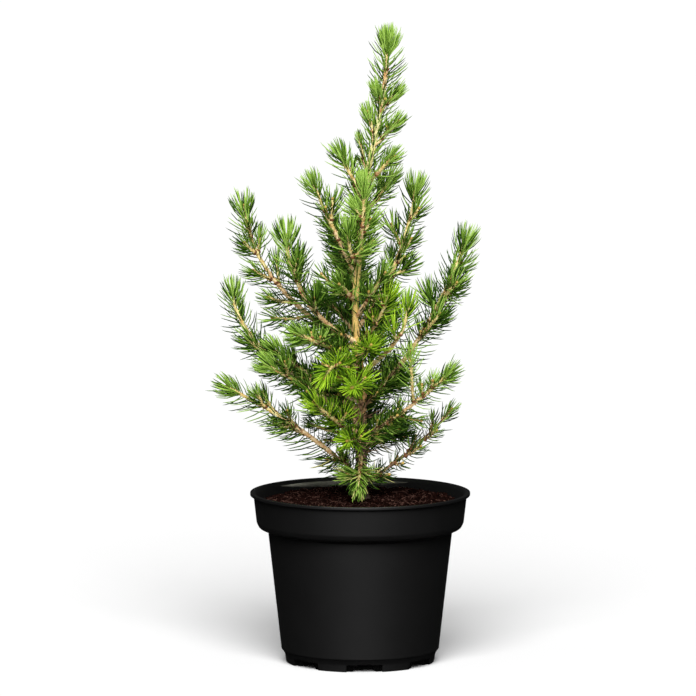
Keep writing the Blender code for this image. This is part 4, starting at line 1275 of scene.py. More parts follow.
def by_height(name, steps):
    """A Principled material whose colour is read off a ramp by height in the part, with the
    height blurred by noise, and darkened in spots, like scars, by a second noise. The scars
    grow fainter from one height to another."""
    material, tree, shader = new_material(name, TRUNK_ROUGHNESS, TRUNK_SPECULAR)
    where = add_node(tree, "TexCoord")["Object"]
    z = add_node(tree, "SeparateXYZ", {0: where})["Z"]
    low, high = steps[0][0], steps[-1][0]
    share = add_node(tree, "MapRange", {"Value": z, "From Min": low * MM, "From Max": high * MM})
    middle = add_node(tree, "Math", {0: share["Result"], 1: BLUR / 2}, operation="SUBTRACT")["Value"]
    blur = add_noise(tree, where, BLUR_SCALE, BLUR_DETAIL)
    place = add_node(tree, "Math", {0: blur, 1: BLUR, 2: middle}, operation="MULTIPLY_ADD")["Value"]
    wood = add_ramp(tree, place, [((at - low) / (high - low), colour) for at, colour in steps])
    scars = add_noise(tree, where, SCAR_SCALE, SCAR_DETAIL)
    shade = add_ramp(tree, scars, list(zip(SCAR_STOPS, (SCAR_SHADE, (1.0, 1.0, 1.0)))))
    span = {"From Min": SCARS_FADE[0] * MM, "From Max": SCARS_FADE[1] * MM}
    fade = add_node(tree, "MapRange", {"Value": z, **span, "To Min": 1.0, "To Max": SCARS_LEFT})
    layers = {"Factor": fade["Result"], "A": wood, "B": shade}
    darkened = add_node(tree, "Mix", layers, data_type="RGBA", blend_type="MULTIPLY")
    feed(tree, shader, {"Base Color": darkened["Result"]})
    add_grain(tree, shader, where, *BARK_GRAIN)
    return material


make_trunk(by_height("trunk_bark", TRUNK_COLOURS))

# %% The boughs: bare wood from the trunk to where their needles begin
BOUGH_SIDES = 28
BOUGH_DETAIL = 0.7
BOUGH_PEGS = (0.15, 2.4)
BOUGH_SLIM = {"low_right": 0.50, "low_left": 0.60, "forked_right": 0.58, "big_right": 0.62}
BOUGH_SLIM_ELSE = 0.82
BOUGH_FOOT_FLARE = 0.3
BOUGH_FLARE_REACH = 3.0
BOUGH_RUNS_ON = 0.8
# pale_right's bough takes the pale stem finish as painted light, since the crown shades it.
BOUGH_WOOD = {
    "low_right": "bark_dark", "big_right": "bark_dark", "forked_right": "bark_dark",
    "low_left": "bark_brown", "tall_rear": "bark_brown", "pale_right": "stem_pale",
}


def make_boughs():
    """Each bough runs on a little into its mass, and swells like a trumpet where it leaves the
    trunk: the extra radius halves about every two millimetres."""
    for name, bough in BOUGHS.items():
        path, aims, radii = finer(bough, BOUGH_DETAIL)
        path = np.vstack([path, path[-1] + aims[-1] * BOUGH_RUNS_ON])
        aims = np.vstack([aims, aims[-1]])
        radii = BOUGH_SLIM.get(name, BOUGH_SLIM_ELSE) * np.r_[radii, radii[-1]]
        along = np.r_[0, np.cumsum(gaps_along(path))]
        radii = radii + BOUGH_FOOT_FLARE * np.exp(-along / BOUGH_FLARE_REACH)
        skin = limb_skin(path, aims, radii, BOUGH_SIDES, peg_ripple(*BOUGH_PEGS))
        wood = FINISH[BOUGH_WOOD.get(name, "bark_tan")]
        piece = put_mesh(f"bark_{name}", *closed_grid(skin, path[0], path[-1]), wood)
        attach(piece, "root")
        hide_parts(f"bough_{name}")


make_boughs()

# %% The green wood: main stems, side shoots and sprigs, joined by age
STEM_SIDES = 10
STEM_DETAIL = 1.0
STEM_WANDER = 0.22
STEM_PEGS = (0.10, 2.2)
STEM_POINT = 0.5
STEM_WOOD = {"stems_tan": "bark_tan", "stems_pale": "stem_pale", "stems_dark": "bark_dark"}
THINNER = {"low_right": 0.62, "forked_right": 0.78}


def wandering(limb, number):
    """The finer line of a limb with a slight wander: two slow sine waves across it that
    start and end at nothing, because no shoot is drawn with a ruler."""
    path, aims, radii = finer(limb, STEM_DETAIL)
    rng = seeded(f"wander {number}")
    across, up = frames_along(aims)
    t = np.linspace(0, 1, len(path))
    fade = np.sin(math.pi * t)
    for direction in (across, up):
        wave = np.sin(2 * math.pi * (rng.uniform(0.8, 2.2) * t + rng.uniform()))
        path = path + STEM_WANDER * (fade * wave)[:, None] * direction
    return path, aims, radii


LIMBS = MAINS + SIDES + SPRIGS
LINES = [wandering(limb, number) for number, limb in enumerate(LIMBS)]


def make_stems():
    """The older half of each main stem is tan, and what grew last is pale straw. The thin low
    right shoot is dark all along."""
    bundles = {name: Bundle() for name in STEM_WOOD}
    for limb, (path, aims, radii) in zip(LIMBS, LINES):
        mass = MASS_NAMES[limb.mass]
        slim = THINNER.get(mass, 1.0)
        skin = limb_skin(path, aims, slim * radii, STEM_SIDES, peg_ripple(*STEM_PEGS))
        split = len(path) // 2 if limb.order == 1 else 0
        old, young = ("stems_dark", "stems_dark") if mass == "low_right" else ("stems_tan", "stems_pale")
        if split:
            bundles[old].add(*closed_grid(skin[: split + 1], path[0], path[split]))
        bundles[young].add(*closed_grid(skin[split:], path[split], path[-1] + STEM_POINT * aims[-1]))
    for name, bundle in bundles.items():
        stems = bundle.put(name, FINISH[STEM_WOOD[name]])
        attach(stems, "root")


make_stems()

# %% Dead twigs in the shade round the foot of the trunk
DEAD_TWIGS = 54
DEAD_Z = (104.0, 162.0)
DEAD_LENGTH = (5.0, 15.0)
DEAD_R = (0.42, 0.20)
DEAD_RISE = (-20, 45)
DEAD_SWING = (-60, 60)
DEAD_CROOK = (-30, 40)
DEAD_ROWS = 6
DEAD_SIDES = 6
DEAD_PEGS = (0.08, 1.6)
DEAD_SINK = 0.5
DEAD_GAP = 0.3


def make_dead_twigs():
    """Short bare twigs, each bent to a side and up or down by random angles, where the shade
    has killed the needles. One that would touch a living limb is left out."""
    rng = random.Random(f"{SEED}-dead")
    living = RODS[RODS[:, 8] != TRUNK]
    twigs, kept = Bundle(), 0
    for _ in range(DEAD_TWIGS):
        z, heading = rng.uniform(*DEAD_Z), rng.uniform(0, 360)
        middle, radius = trunk_at(z)
        turn = math.radians(heading)
        start = middle + (radius - DEAD_SINK) * np.array([math.cos(turn), math.sin(turn), 0.0])
        length, rise = rng.uniform(*DEAD_LENGTH), rng.uniform(*DEAD_RISE)
        swing, tip_rise = rng.uniform(*DEAD_SWING), rise + rng.uniform(*DEAD_CROOK)
        path, aims = arc(start, heading, swing, length, rise, tip_rise, 1, DEAD_ROWS)
        radii = np.linspace(*DEAD_R, len(path))
        if gap_to(path, radii, living) < DEAD_GAP:
            continue
        skin = limb_skin(path, aims, radii, DEAD_SIDES, peg_ripple(*DEAD_PEGS))
        twigs.add(*closed_grid(skin, path[0], path[-1]))
        kept += 1
    piece = twigs.put("dead_twigs", FINISH["bark_dark"])
    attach(piece, "root")
    print(kept, "dead twigs")


make_dead_twigs()

# %% [markdown]
# ## Needles
#
# A spruce needle is a short four-sided rod with a point, bent a little towards the shoot.
# One needle is a grid of four corners by four rings and a tip: thirty triangles. They are
# set round the stem by the golden angle, 137.5 degrees from each to the next, which is how
# a shoot packs them so that none stands over its neighbour. They lean out by more than
# fifty degrees low on a shoot and close up round the bud. Particles would be quicker, but
# real meshes keep them in any program, so all the needles of one tint are one joined mesh
# worked out as whole arrays.

# %% Needles set round a line
NEEDLE = 12.4
ROOT_DEPTH = 0.9
TURN_NOISE = 0.22
COMBED = 0.30
UNCOMBED = {
    "leader", "tip_left", "tip_right", "forked_right", "bough forked_right", "bough big_right",
    "bough low_left", "bough low_right", "trunk 112.0", "trunk 250.0",
}
HANGING = {
    "low_left": 0.60, "forked_right": 0.30, "low_front_left": 0.40, "tall_left": 0.40,
    "upper_shelf": -0.25, "rear_low_right": 0.50, "low_right": 0.25, "shelf_left": 0.35,
}
HANGING_LONGER = 0.55
Sites = namedtuple("Sites", "root aim out lean length tone")


def sites_along(path, aims, radii, places, leans, lengths, tones, rng, word):
    """Needle sites at fractional places along a line, each turned on by the golden angle. Its
    angle then gains the sine of its double, which combs the needles to the upper and lower
    side and leaves the stem in view on both flanks. On a hanging shoot the angle also loses
    its cosine, which moves needles to the lower side, where they are longer too. Towards the
    bud of a shoot that fades by the cube of the share."""
    root, aim = pick_along(places, path), unit(pick_along(places, aims))
    side = level_side(math.atan2(aims[0, 1], aims[0, 0]))
    across = unit(side - aim * (aim @ side)[:, None])
    up = np.cross(aim, across)
    turn = GOLDEN_TURN * np.arange(len(places)) + rng.uniform(0, 2 * math.pi)
    if word not in UNCOMBED:
        turn = turn + COMBED * np.sin(2 * turn)
    hang = HANGING.get(word.removeprefix("bough "), 0.0)
    if not word.startswith("bough "):
        hang = hang * (1 - (places / (len(path) - 1)) ** 3)
    turn = turn - hang * np.cos(turn) + rng.normal(0, TURN_NOISE, len(places))
    lengths = lengths * (1 - HANGING_LONGER * hang * np.sin(turn))
    out = np.cos(turn)[:, None] * across + np.sin(turn)[:, None] * up
    radius = np.interp(places, range(len(radii)), radii)
    return Sites(root + out * (radius * ROOT_DEPTH)[:, None], aim, out, leans, lengths, tones)


# %% How young and lit a needle is
TONE_INSIDE = 0.06
TONE_OUTWARD = 0.17
TONE_UPWARD = 0.34
TONE_TO_TIP = 0.30
OUTWARD_REACH = 62.0
UPWARD_FROM = 100.0
UPWARD_REACH = 230.0


def tone_of(root, tip_share, shoot_tone, spray_noise):
    """How young and lit a needle is, from 0 in the shade inside to 1 at a fresh tip: it
    rises with the distance from the trunk and with the height, which paint light and shade
    into its tint, and towards the shoot's tip, where the needle is young."""
    trunk, _ = trunk_at(np.clip(root[:, 2], TRUNK_FOOT_Z, TRUNK_TIP_Z))
    outward = np.linalg.norm(root[:, :2] - trunk[:, :2], axis=1)
    height = (root[:, 2] - UPWARD_FROM) / UPWARD_REACH
    tone = TONE_INSIDE + TONE_OUTWARD * eased(outward / OUTWARD_REACH) + TONE_UPWARD * np.clip(height, 0, 1)
    return tone + TONE_TO_TIP * tip_share**2 + shoot_tone + spray_noise


# %% How many needles a stem has, how long they are and how far they lean
DENSITY = {1: 1.1, 2: 1.5, 3: 1.8}
START_BARE = {1: 0.5, 2: 1.6, 3: 1.6}
SIZES = (0.80, 1.10)
SPRIG_NEEDLE = 0.82
LEAN_TIP = 27.0
LEAN_GAIN = 29.0
LEAN_REACH = 13.0
LEAN_NOISE = 5.0


def lean_at(to_tip):
    """Degrees from the shoot: least at the tip, and more further down, by a gain that closes
    on its full size as fast as an exponential of the distance."""
    return LEAN_TIP + LEAN_GAIN * (1 - np.exp(-to_tip / LEAN_REACH))


def along_stem(limb, length, denser, rng):
    """Shares, leans and lengths of the needles along a stem. They are spaced evenly, and each
    is moved at random within its own stretch."""
    start = START_BARE[limb.order]
    count = max(3, int((length - start) * (DENSITY[limb.order] * denser)))
    share = (start + (length - start) * (np.arange(count) + rng.uniform(0, 1, count)) / count) / length
    lean = lean_at((1 - share) * length) + rng.normal(0, LEAN_NOISE, count)
    size = NEEDLE * rng.uniform(*SIZES, count) * (SPRIG_NEEDLE if limb.order == 3 else 1)
    return share, lean, size


# %% The rosette that closes round a bud
ROSETTE = {1: 46, 2: 26, 3: 14}
ROSETTE_DEPTH = 8.0
LEAN_BUD = (5.0, 28.0)
BUD_LEAN_NOISE = 3.5
BUD_SIZES = (0.86, 1.06)
SPRIG_BUD_NEEDLE = 0.85


def round_bud(limb, length, denser, rng):
    """Shares, leans and lengths of a rosette's needles, and how far out each stands: the root
    of what is left to the bud. The outer needles lean most and are longest."""
    around = round(ROSETTE[limb.order] * denser ** 0.5)
    ring = (np.arange(around) + 0.5) / around
    share = 1 - ROSETTE_DEPTH * (1 - ring) ** 1.2 / length
    spread = np.sqrt(1 - ring)
    lean = LEAN_BUD[0] + LEAN_BUD[1] * spread + rng.normal(0, BUD_LEAN_NOISE, around)
    size = NEEDLE * (0.80 + 0.20 * spread) * rng.uniform(*BUD_SIZES, around)
    return share, lean, size * (SPRIG_BUD_NEEDLE if limb.order == 3 else 1), spread


# %% What each shoot has of its own: density, length and lean of its needles
DENSER = {
    "leader": 2.6, "low_right": 0.52, "pale_right": 0.85, "low_left": 1.1, "foot_front": 2.1,
    "big_right": 1.25, "front_up": 1.2, "front_left": 1.5, "forked_right": 1.0,
    "rear_low_left": 0.6, "crown_rear": 0.7,
}
SHORTER = {
    "leader": 1.12, "tip_left": 0.72, "tip_right": 0.74, "top_left": 0.80, "top_right": 0.78,
    "crown_right": 0.88, "crown_rear": 0.54, "crown_rear_right": 0.90, "low_right": 0.70,
    "foot_front": 0.92, "forked_right": 0.82, "rear_low_left": 0.62,
}
SIDES_SHORTER = {"tall_left": 0.76, "low_left": 0.76, "inner_right": 0.85}
BUD_LONGER = {"big_right": 1.20, "front_left": 1.25, "inner_right": 1.18, "tall_left": 1.15}
CLOSER = {
    "tip_left": 0.62, "tip_right": 0.62, "top_left": 0.68, "top_right": 0.68, "leader": 0.98,
    "crown_right": 0.85, "crown_rear": 0.62, "foot_front": 0.78,
}
BUD_CLOSER = {"leader": 0.76}

# %% And the tone of its needles
SPRAY_LENGTH = 6.0
SPRAY_NOISE = 0.06
NEEDLE_NOISE = 0.33
TIP_REACH = 26.0
SIDE_SHADE = 0.13
BUD_GLOW = (0.12, 0.70)
STAR_GLOW = (0.44, 0.62)
STARS = {"star_front", "star_left", "star_low", "droop", "short_low_right", "small_front"}
# Each shoot's own tone is partly painted light and shade: the rear shoots are darkened, and front shoots
# that others shade are lightened.
SHOOT_TONE = {
    "star_front": 0.34, "star_left": 0.02, "star_low": 0.12, "droop": 0.04, "foot_front": 0.42,
    "low_front_left": 0.04, "short_low_right": 0.02, "pale_right": 0.04, "forked_right": 0.05,
    "small_front": 0.08, "low_right": -0.12, "front_up": 0.44, "upper_shelf": -0.02,
    "shelf_left": -0.10, "low_left": -0.02, "tall_left": -0.12, "outer_left": -0.06,
    "front_left": -0.06, "rear_foot": -0.14, "rear_low_left": -0.14, "rear_low_right": -0.16,
    "rear_mid_right": -0.16, "rear_mid": -0.14, "rear_mid_left": -0.12, "rear_right": -0.08,
    "leader": 0.13, "tip_left": 0.14, "tip_right": 0.14, "top_left": 0.12, "top_right": 0.12,
    "crown_right": 0.10, "upper_left": 0.02, "knob_left": 0.10, "big_right": -0.09,
    "inner_right": -0.04, "short_right": -0.06,
}
FORK_TONE = {"forked_right": 0.50}


def spray_noise(share, length, rng):
    """Random tones: one for each short stretch of a stem and a stronger one for each needle."""
    sprays = rng.normal(0, SPRAY_NOISE, int(length / SPRAY_LENGTH) + 2)
    stretch = np.clip(share * length / SPRAY_LENGTH, 0, len(sprays) - 1).astype(int)
    return sprays[stretch] + rng.normal(0, NEEDLE_NOISE, len(share))


# %% The needles of one stem
def limb_sites(number):
    """The needles along a stem and the rosette round its bud, with what the shoot has of its
    own. The middle of a rosette glows, and side shoots and sprigs lie in some shade."""
    limb, (path, aims, radii) = LIMBS[number], LINES[number]
    rng = seeded(f"needles {number}")
    name, length = MASS_NAMES[limb.mass], gaps_along(path).sum()
    denser, closer = DENSER.get(name, 1.0), CLOSER.get(name, 1.0)
    share, lean, size = along_stem(limb, length, denser, rng)
    share_bud, lean_bud, size_bud, spread = round_bud(limb, length, denser, rng)
    glow, within = STAR_GLOW if name in STARS else BUD_GLOW
    glows = np.r_[np.zeros(len(share)), glow * (spread < within)]
    share = np.r_[share, share_bud]
    lean = np.r_[closer * lean, BUD_CLOSER.get(name, closer) * lean_bud]
    size = SHORTER.get(name, 1.0) * np.r_[size, BUD_LONGER.get(name, 1.0) * size_bud]
    if limb.order == 2:
        size = size * SIDES_SHORTER.get(name, 1.0)
    places = np.clip(share, 0, 1) * (len(path) - 1)
    noise = spray_noise(share, length, rng) + glows - SIDE_SHADE * (limb.order > 1)
    tip_share = np.clip(1 - (1 - share) * length / TIP_REACH, 0, 1)
    shoot_tone = SHOOT_TONE.get(name, 0.0) + FORK_TONE.get(name, 0.0) * (limb.order == 2)
    tone = tone_of(pick_along(places, path), tip_share, shoot_tone, noise)
    return sites_along(path, aims, radii, places, lean, size, tone, rng, name)


# %% The needles of older wood
WOOD_LEAN_NOISE = 6.0
WOOD_SIZES = (0.75, 1.02)


def wood_sites(path, aims, radii, word, density, first_share, mean_lean, tone_shift):
    """Needles on older wood, from a share of its length on."""
    rng = seeded(word)
    length = gaps_along(path).sum()
    count = int(length * (1 - first_share) * density)
    share = first_share + (1 - first_share) * (np.arange(count) + rng.uniform(0, 1, count)) / count
    places = share * (len(path) - 1)
    lean = rng.normal(mean_lean, WOOD_LEAN_NOISE, count)
    size = SHORTER.get(word.removeprefix("bough "), 1.0) * NEEDLE * rng.uniform(*WOOD_SIZES, count)
    noise = rng.normal(0, NEEDLE_NOISE, count) + tone_shift
    tone = tone_of(pick_along(places, path), 0.0, 0.0, noise)
    return sites_along(path, aims, radii, places, lean, size, tone, rng, word)


# %% All the sites
Clad = namedtuple("Clad", "low high density lean tone")
TRUNK_NEEDLES = (
    Clad(112.0, 168.0, 1.6, 60.0, 0.10),
    Clad(186.0, 208.0, 0.5, 50.0, 0.10),
    Clad(208.0, 250.0, 3.0, 57.0, 0.32),
    Clad(250.0, 313.0, 3.0, 36.0, 0.16),
)
BOUGH_BARE = 0.12
BOUGH_DENSITY = 1.25
BOUGH_LEAN = 56.0
BOUGH_TONE = -0.04
BOUGH_CLAD = {
    "pale_right": 0.8, "low_right": 3.2, "big_right": 2.8, "forked_right": 3.4, "low_left": 1.7,
    "tall_left": 2.4, "outer_left": 1.5, "front_left": 1.4, "shelf_left": 1.4,
}


def all_sites():
    """Sites of every stem, of the boughs' outer part and of the young trunk, with the number
    of the mass that each belongs to."""
    found = [(limb_sites(number), limb.mass) for number, limb in enumerate(LIMBS)]
    for name, bough in BOUGHS.items():
        density = BOUGH_DENSITY * BOUGH_CLAD.get(name, 1.0)
        line, word = finer(bough, 1.0), "bough " + name
        sites = wood_sites(*line, word, density, BOUGH_BARE, BOUGH_LEAN, BOUGH_TONE)
        found.append((sites, bough.mass))
    for low, high, density, lean, tone in TRUNK_NEEDLES:
        path, radii = trunk_at(np.linspace(low, high, 60))
        aims = unit(np.gradient(path, axis=0))
        sites = wood_sites(path, aims, radii, f"trunk {low}", density, 0.0, lean, tone)
        found.append((sites, TRUNK))
    owner = np.concatenate([np.full(len(sites.root), mass) for sites, mass in found])
    return Sites(*(np.concatenate(parts) for parts in zip(*(sites for sites, _ in found)))), owner


SITES, OWNER = all_sites()
print(len(OWNER), "needle sites")

# %% The line of a needle
NEEDLE_BEND = math.radians(13.0)
BEND_SPREAD = 0.75
BEND_WAVES = np.array([7.0, 5.0, 9.0])
LIFT = 0.10


def needle_lines(sites, t):
    """Points and directions of all needles at shares t of their length. The angle from the
    shoot falls evenly from lean plus bend to lean less bend, which is an arc of a circle,
    and on a level shoot the tip is lifted by a tenth of the length, as needles turn to the
    light. A quick wave of a needle's place makes its bend more or less than its neighbour's."""
    lean = np.radians(sites.lean)[:, None]
    bend = NEEDLE_BEND * (1 + BEND_SPREAD * np.sin(sites.root @ BEND_WAVES))[:, None]
    first = lean + bend
    here = first - 2 * bend * t
    forward = (np.sin(first) - np.sin(here)) / (2 * bend)
    outward = (np.cos(here) - np.cos(first)) / (2 * bend)
    aim, out = sites.aim[:, None], sites.out[:, None]
    size = sites.length[:, None, None]
    lifted = (1 - np.abs(sites.aim[:, 2]))[:, None] * LIFT * t**2
    points = sites.root[:, None] + size * (forward[..., None] * aim + outward[..., None] * out)
    points[..., 2] += sites.length[:, None] * lifted
    return points, unit(np.cos(here)[..., None] * aim + np.sin(here)[..., None] * out)


# %% Needles that would run into wood, soil or pot are left out
CHECK_SHARES = np.array([0.35, 0.7, 1.0])
SOIL_KEEP = 1.2
WOOD_KEEP = 0.25
RIM_SPAN = (POT_LIP_R - 5, POT_LIP_R + 2)


def near_rods(points, rods, spare):
    """True for each point that lies within a rod's radius and a little more of its middle."""
    along = rods[:, 3:6] - rods[:, 0:3]
    length2 = (along**2).sum(axis=1)
    t = np.clip((points @ along.T - (rods[:, 0:3] * along).sum(axis=1)) / length2, 0, 1)
    nearest = rods[None, :, 0:3] + t[..., None] * along
    apart = np.linalg.norm(points[:, None] - nearest, axis=2)
    return (apart < rods[:, 6] + (rods[:, 7] - rods[:, 6]) * t + spare).any(axis=1)


def free_sites(sites, owner):
    """The needles that touch neither soil nor pot nor a limb of another mass, and that end
    inside the box of the solids."""
    points, _ = needle_lines(sites, CHECK_SHARES)
    low, high = (np.array(corner) / MM for corner in CAD_BOX)
    outside = ((points[:, -1] < low) | (points[:, -1] > high)).any(axis=1)
    radius = np.hypot(points[..., 0], points[..., 1])
    in_soil = (radius < POT_LIP_R - 4) & (points[..., 2] < SOIL_EDGE_Z + SOIL_DOME + SOIL_KEEP)
    over_rim = (radius > RIM_SPAN[0]) & (radius < RIM_SPAN[1])
    in_wall = over_rim & (points[..., 2] < POT_HEIGHT + 1)
    keep = ~(in_soil | in_wall).any(axis=1) & ~outside
    for mass in np.unique(owner):
        mine = np.flatnonzero(owner == mass)
        others = RODS[RODS[:, 8] != mass]
        flat = points[mine].reshape(-1, 3)
        hit = near_rods(flat, others, WOOD_KEEP).reshape(len(mine), -1).any(axis=1)
        keep[mine[hit]] = False
    return Sites(*(column[keep] for column in sites)), owner[keep]


SITES, OWNER = free_sites(SITES, OWNER)
print(len(OWNER), "needles kept")

# %% The needles' skins
NEEDLE_WIDTH = 0.73
RINGS_AT = np.array([0.0, 0.10, 0.50, 0.84])
RINGS_WIDE = np.array([0.50, 0.92, 1.0, 0.66])
NEEDLE_FLAT = 0.8


def needle_faces():
    """Twelve quads round three bands, a root quad and four triangles at the tip."""
    tip = 4 * len(RINGS_AT)
    column = np.arange(4)
    last = tip - 4
    point = np.stack([np.full(4, tip), last + column, last + (column + 1) % 4], axis=1)
    root = np.array([[3, 2, 1, 0]])
    return np.vstack([grid_faces(len(RINGS_AT), 4), root]), point


def needle_points(sites):
    """Four corners a ring, wider across than through, and one point at the tip. A needle
    that grew short is thinner too, by the root of its length."""
    centre, direction = needle_lines(sites, np.r_[RINGS_AT, 1.0])
    across = np.cross(sites.aim, sites.out)[:, None]
    normal = np.cross(direction, across)
    width = 0.5 * NEEDLE_WIDTH * (sites.length / NEEDLE)[:, None] ** 0.5 * RINGS_WIDE
    side = width[..., None] * across
    thick = NEEDLE_FLAT * width[..., None] * normal[:, :-1]
    ring = centre[:, :-1]
    corners = np.stack([ring + side, ring + thick, ring - side, ring - thick], axis=2)
    return np.concatenate([corners.reshape(len(centre), -1, 3), centre[:, -1:]], axis=1)


# %% The tints dealt out, and the needles joined by tint
TONE_STEPS = np.array([0.22, 0.36, 0.50, 0.68])
PLAIN_TINTS = np.array(["shade_green", "deep_green", "mid_green", "fresh_green", "tip_green"])
YELLOW_TINTS = np.array(["shade_green", "star_deep", "star_deep", "star_green", "star_lime"])
YELLOWER = {
    "star_front", "star_left", "star_low", "droop", "short_low_right", "pale_right", "small_front",
}
MOST_NEEDLES = 6400
STRAW_SHARE = 0.06
STRAW_AT_FOOT = 0.12
STRAW_BELOW_Z = 128.0
STRAW_WITHIN_R = 20.0


def tints_by_tone(sites, owner):
    """The tint of each needle by its tone, and straw for some of the lowest ones near the
    trunk and of the foot spray's."""
    step = np.searchsorted(TONE_STEPS, sites.tone)
    yellower = np.isin(owner, [MASS_NAMES.index(name) for name in YELLOWER])
    tint = np.where(yellower, YELLOW_TINTS[step], PLAIN_TINTS[step])
    x, y, z = sites.root.T
    dry = (z < STRAW_BELOW_Z) & (np.hypot(x, y) < STRAW_WITHIN_R)
    straw_share = np.where(owner == MASS_NAMES.index("foot_front"), STRAW_AT_FOOT, STRAW_SHARE * dry)
    tint[seeded("straw").uniform(size=len(tint)) < straw_share] = "straw"
    return tint


def put_needles(sites, tint_of):
    """One joined mesh for each tint, or more where a tint has more needles than a mesh may
    hold. All of them together stand for the masses."""
    quads, tips = needle_faces()
    for tint in TINTS:
        every = np.flatnonzero(tint_of == tint)
        for part, mine in enumerate(np.array_split(every, math.ceil(len(every) / MOST_NEEDLES))):
            points = needle_points(Sites(*(column[mine] for column in sites)))
            start = points.shape[1] * np.arange(len(mine))[:, None, None]
            faces = [(quads + start).reshape(-1, 4), (tips + start).reshape(-1, 3)]
            name = f"needles_in_{tint}_{part + 1}"
            piece = put_mesh(name, points.reshape(-1, 3), faces, NEEDLE_FINISH[tint])
            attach(piece, "root")
            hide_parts(*(f"needles_{mass}" for mass in MASSES))


put_needles(SITES, tints_by_tone(SITES, OWNER))

# %% [markdown]
# ## Pegs, buds and scales
#
# Three small things tell a spruce shoot from a bottle brush: the woody peg under every
# needle, the amber bud in the middle of each rosette, and the collar of brown papery scales
# where a shoot broke from last year's bud. Each is a shape of a few dozen faces, repeated.

# %% Pegs under the needles
PEG_LENGTH = 0.95
PEG_R = (0.36, 0.26)
PEG_SINK = 0.25
PEG_LEAN = 0.8
MOST_PEGS = 15000


def put_pegs(sites):
    """A four-sided stub from inside the stem, which leans a little closer than its needle."""
    start = sites.root - sites.out * PEG_SINK
    lean = np.radians(sites.lean)[:, None] * PEG_LEAN
    direction = unit(np.cos(lean) * sites.aim + np.sin(lean) * sites.out)
    across = np.cross(sites.aim, sites.out)
    normal = np.cross(direction, across)
    rings = []
    for share, radius in zip((0.0, 1.0), PEG_R):
        centre = start + direction * PEG_LENGTH * share
        for a, b in ((1, 0), (0, 1), (-1, 0), (0, -1)):
            rings.append(centre + radius * (a * across + b * normal))
    points = np.stack(rings, axis=1)
    quads = np.vstack([grid_faces(2, 4), [[3, 2, 1, 0], [4, 5, 6, 7]]])
    for part, mine in enumerate(np.array_split(points, math.ceil(len(points) / MOST_PEGS))):
        every = quads[None] + 8 * np.arange(len(mine))[:, None, None]
        name = f"needle_pegs_{part + 1}"
        pegs = put_mesh(name, mine.reshape(-1, 3), [every.reshape(-1, 4)], FINISH["stem_pale"])
        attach(pegs, "root")


put_pegs(SITES)

# %% Buds and scale collars
BUD_R = 0.85
BUD_LENGTH = 2.2
BUD_PAST_TIP = 0.4
BUD_SIDES = 8
COLLAR_SIDES = 12
COLLAR_JAG = 0.14
YEAR_MARK = (0.36, 0.46)


def turned_skin(centre, aim, profile, sides, jag=0.0):
    """A profile of (distance along, radius) turned about a direction. The radius of every
    second column grows by the jag."""
    across, up = frames_along(aim[None])
    angle = round_angles(sides)[:, None]
    ring = np.cos(angle) * across + np.sin(angle) * up
    along, radius = np.array(profile).T
    reach = radius[:, None] + jag * (np.arange(sides) % 2)
    skin = centre + along[:, None, None] * aim + reach[:, :, None] * ring
    return closed_grid(skin, centre + along[0] * aim, centre + along[-1] * aim)


def make_buds():
    """An egg: the radius follows half a sine wave from the foot to the point."""
    t = np.linspace(0.12, 0.94, 6)
    profile = [(BUD_LENGTH * (s - 0.25), BUD_R * math.sin(math.pi * s**1.2) + 0.06) for s in t]
    buds = Bundle()
    for path, aims, _ in LINES:
        buds.add(*turned_skin(path[-1] + BUD_PAST_TIP * aims[-1], aims[-1], profile, BUD_SIDES))
    piece = buds.put("buds", FINISH["bud_amber"])
    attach(piece, "root")


def make_collars():
    """A short ragged sleeve near the foot of each side shoot and sprig, and one at each main
    stem's year mark: four rings, of which every second corner stands out further."""
    collars = Bundle()
    for number, (limb, (path, aims, radii)) in enumerate(zip(LIMBS, LINES)):
        year_mark = int(len(path) * seeded(f"collar {number}").uniform(*YEAR_MARK))
        i = year_mark if limb.order == 1 else min(2, len(path) - 2)
        r = radii[i] + 0.08
        profile = [(-0.55, r), (-0.25, r + 0.30), (0.25, r + 0.38), (0.75, r + 0.18)]
        collars.add(*turned_skin(path[i], aims[i], profile, COLLAR_SIDES, COLLAR_JAG))
    piece = collars.put("scale_collars", FINISH["scale_brown"])
    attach(piece, "root")


make_buds()
make_collars()

# %% [markdown]
# ## The stage
#
# The plant stands on a plain white floor wide enough to fill the view. A long lens four
# metres away flattens the pot's ellipses as in the photograph. The light is one wide, soft
# sun from the front and above, like a studio's large diffuser, and a weaker even surround,
# so the upper sides of the needles are lit and the inside of the crown stays dark. The
# surround looks white to the camera, but lights the plant less than it looks.

# %% Floor, surround and lamp
FLOOR_REACH = 30000.0
SURROUND_SEEN = 1.0
SURROUND_LIGHT = 0.16
SURROUND_GLOSS = 0.008
SUN_STRENGTH = 4.5
SUN_WIDTH = math.radians(44.0)
SUN_RISE = math.radians(43.0)
SUN_TURN = math.radians(-1.0)


def make_floor():
    """A plain square, thirty metres from the middle to each side, that no reflection shows."""
    points = FLOOR_REACH * np.array([(-1, -1, 0), (1, -1, 0), (1, 1, 0), (-1, 1, 0)])
    white = mottled("floor_white", (0.89, 0.89, 0.89), (0.91, 0.91, 0.91), 2, 0.9, 0.0)
    floor = put_mesh("floor", points, [np.array([[0, 1, 2, 3]])], white, smooth=False)
    floor.visible_glossy = False


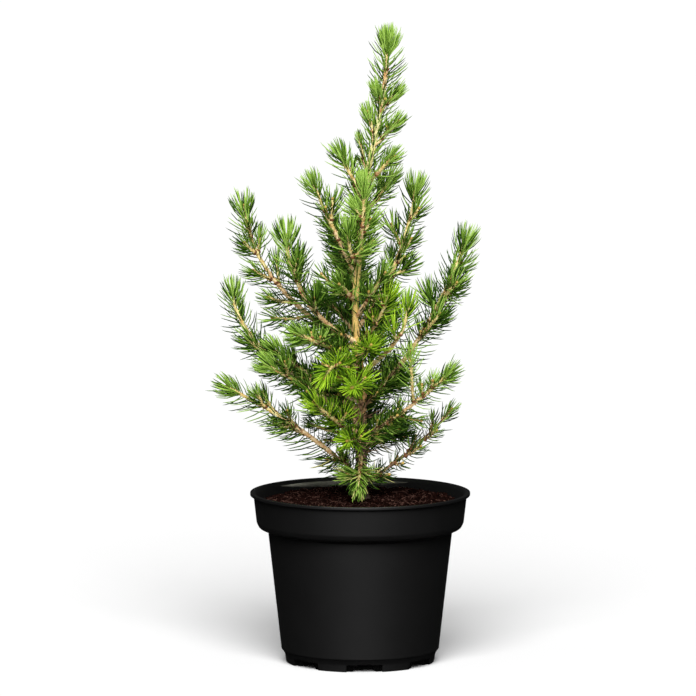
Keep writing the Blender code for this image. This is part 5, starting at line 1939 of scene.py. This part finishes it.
def make_surround():
    """A white world that lights less than it shows: the camera's own rays see it white, the
    rays that light matt surfaces get less, and those that make reflections least, as where
    black cloth hangs at both sides of a studio table."""
    world = bpy.data.worlds.new("surround")
    world.use_nodes = True
    tree = world.node_tree
    ray = add_node(tree, "LightPath")
    seen = {"Value": ray["Is Camera Ray"], "To Min": SURROUND_LIGHT, "To Max": SURROUND_SEEN}
    gloss = {"Value": ray["Is Glossy Ray"], "To Min": 1.0, "To Max": SURROUND_GLOSS / SURROUND_LIGHT}
    ranges = [add_node(tree, "MapRange", inputs)["Result"] for inputs in (seen, gloss)]
    strength = add_node(tree, "Math", dict(enumerate(ranges)), operation="MULTIPLY")["Value"]
    feed(tree, tree.nodes["Background"], {"Color": (1, 1, 1, 1), "Strength": strength})
    bpy.context.scene.world = world


def make_sun():
    """A sun shines down its own -Z, so it is tipped by what its rise lacks of a right angle,
    and turned a little to come from the left of the camera."""
    lamp = bpy.data.lights.new("soft_sun", "SUN")
    lamp.energy = SUN_STRENGTH
    lamp.angle = SUN_WIDTH
    sun = bpy.data.objects.new("soft_sun", lamp)
    sun.rotation_euler = (math.pi / 2 - SUN_RISE, 0.0, SUN_TURN)
    bpy.context.scene.collection.objects.link(sun)


make_floor()
make_surround()
make_sun()

# %% Camera
CAMERA_REACH = 4.0
CAMERA_PITCH = math.radians(7.1)
CAMERA_TARGET = (-0.00664, 0.0, 0.1721)
MM_PER_PIXEL = 0.544
FRAME_PIXELS = 696
SENSOR = 36.0


def make_camera():
    """Four metres back along a line that falls by the pitch, with a lens that makes one
    pixel of the square frame 0.544 mm at the target."""
    camera = bpy.data.cameras.new("camera")
    camera.sensor_width = SENSOR
    camera.lens = SENSOR * CAMERA_REACH / (MM_PER_PIXEL * MM * FRAME_PIXELS)
    camera.clip_start = 0.1
    camera.clip_end = 200.0
    obj = bpy.data.objects.new("camera", camera)
    x, y, z = CAMERA_TARGET
    back, rise = CAMERA_REACH * math.cos(CAMERA_PITCH), CAMERA_REACH * math.sin(CAMERA_PITCH)
    obj.location = (x, y - back, z + rise)
    obj.rotation_euler = (math.pi / 2 - CAMERA_PITCH, 0.0, 0.0)
    bpy.context.scene.collection.objects.link(obj)
    bpy.context.scene.camera = obj
    print("lens", round(camera.lens, 1), "mm")


make_camera()
bpy.context.scene.view_settings.view_transform = "Standard"

# %% The solids' box
bpy.context.view_layer.update()
print("CAD box   ", [[round(v, 4) for v in c] for c in CAD_BOX])
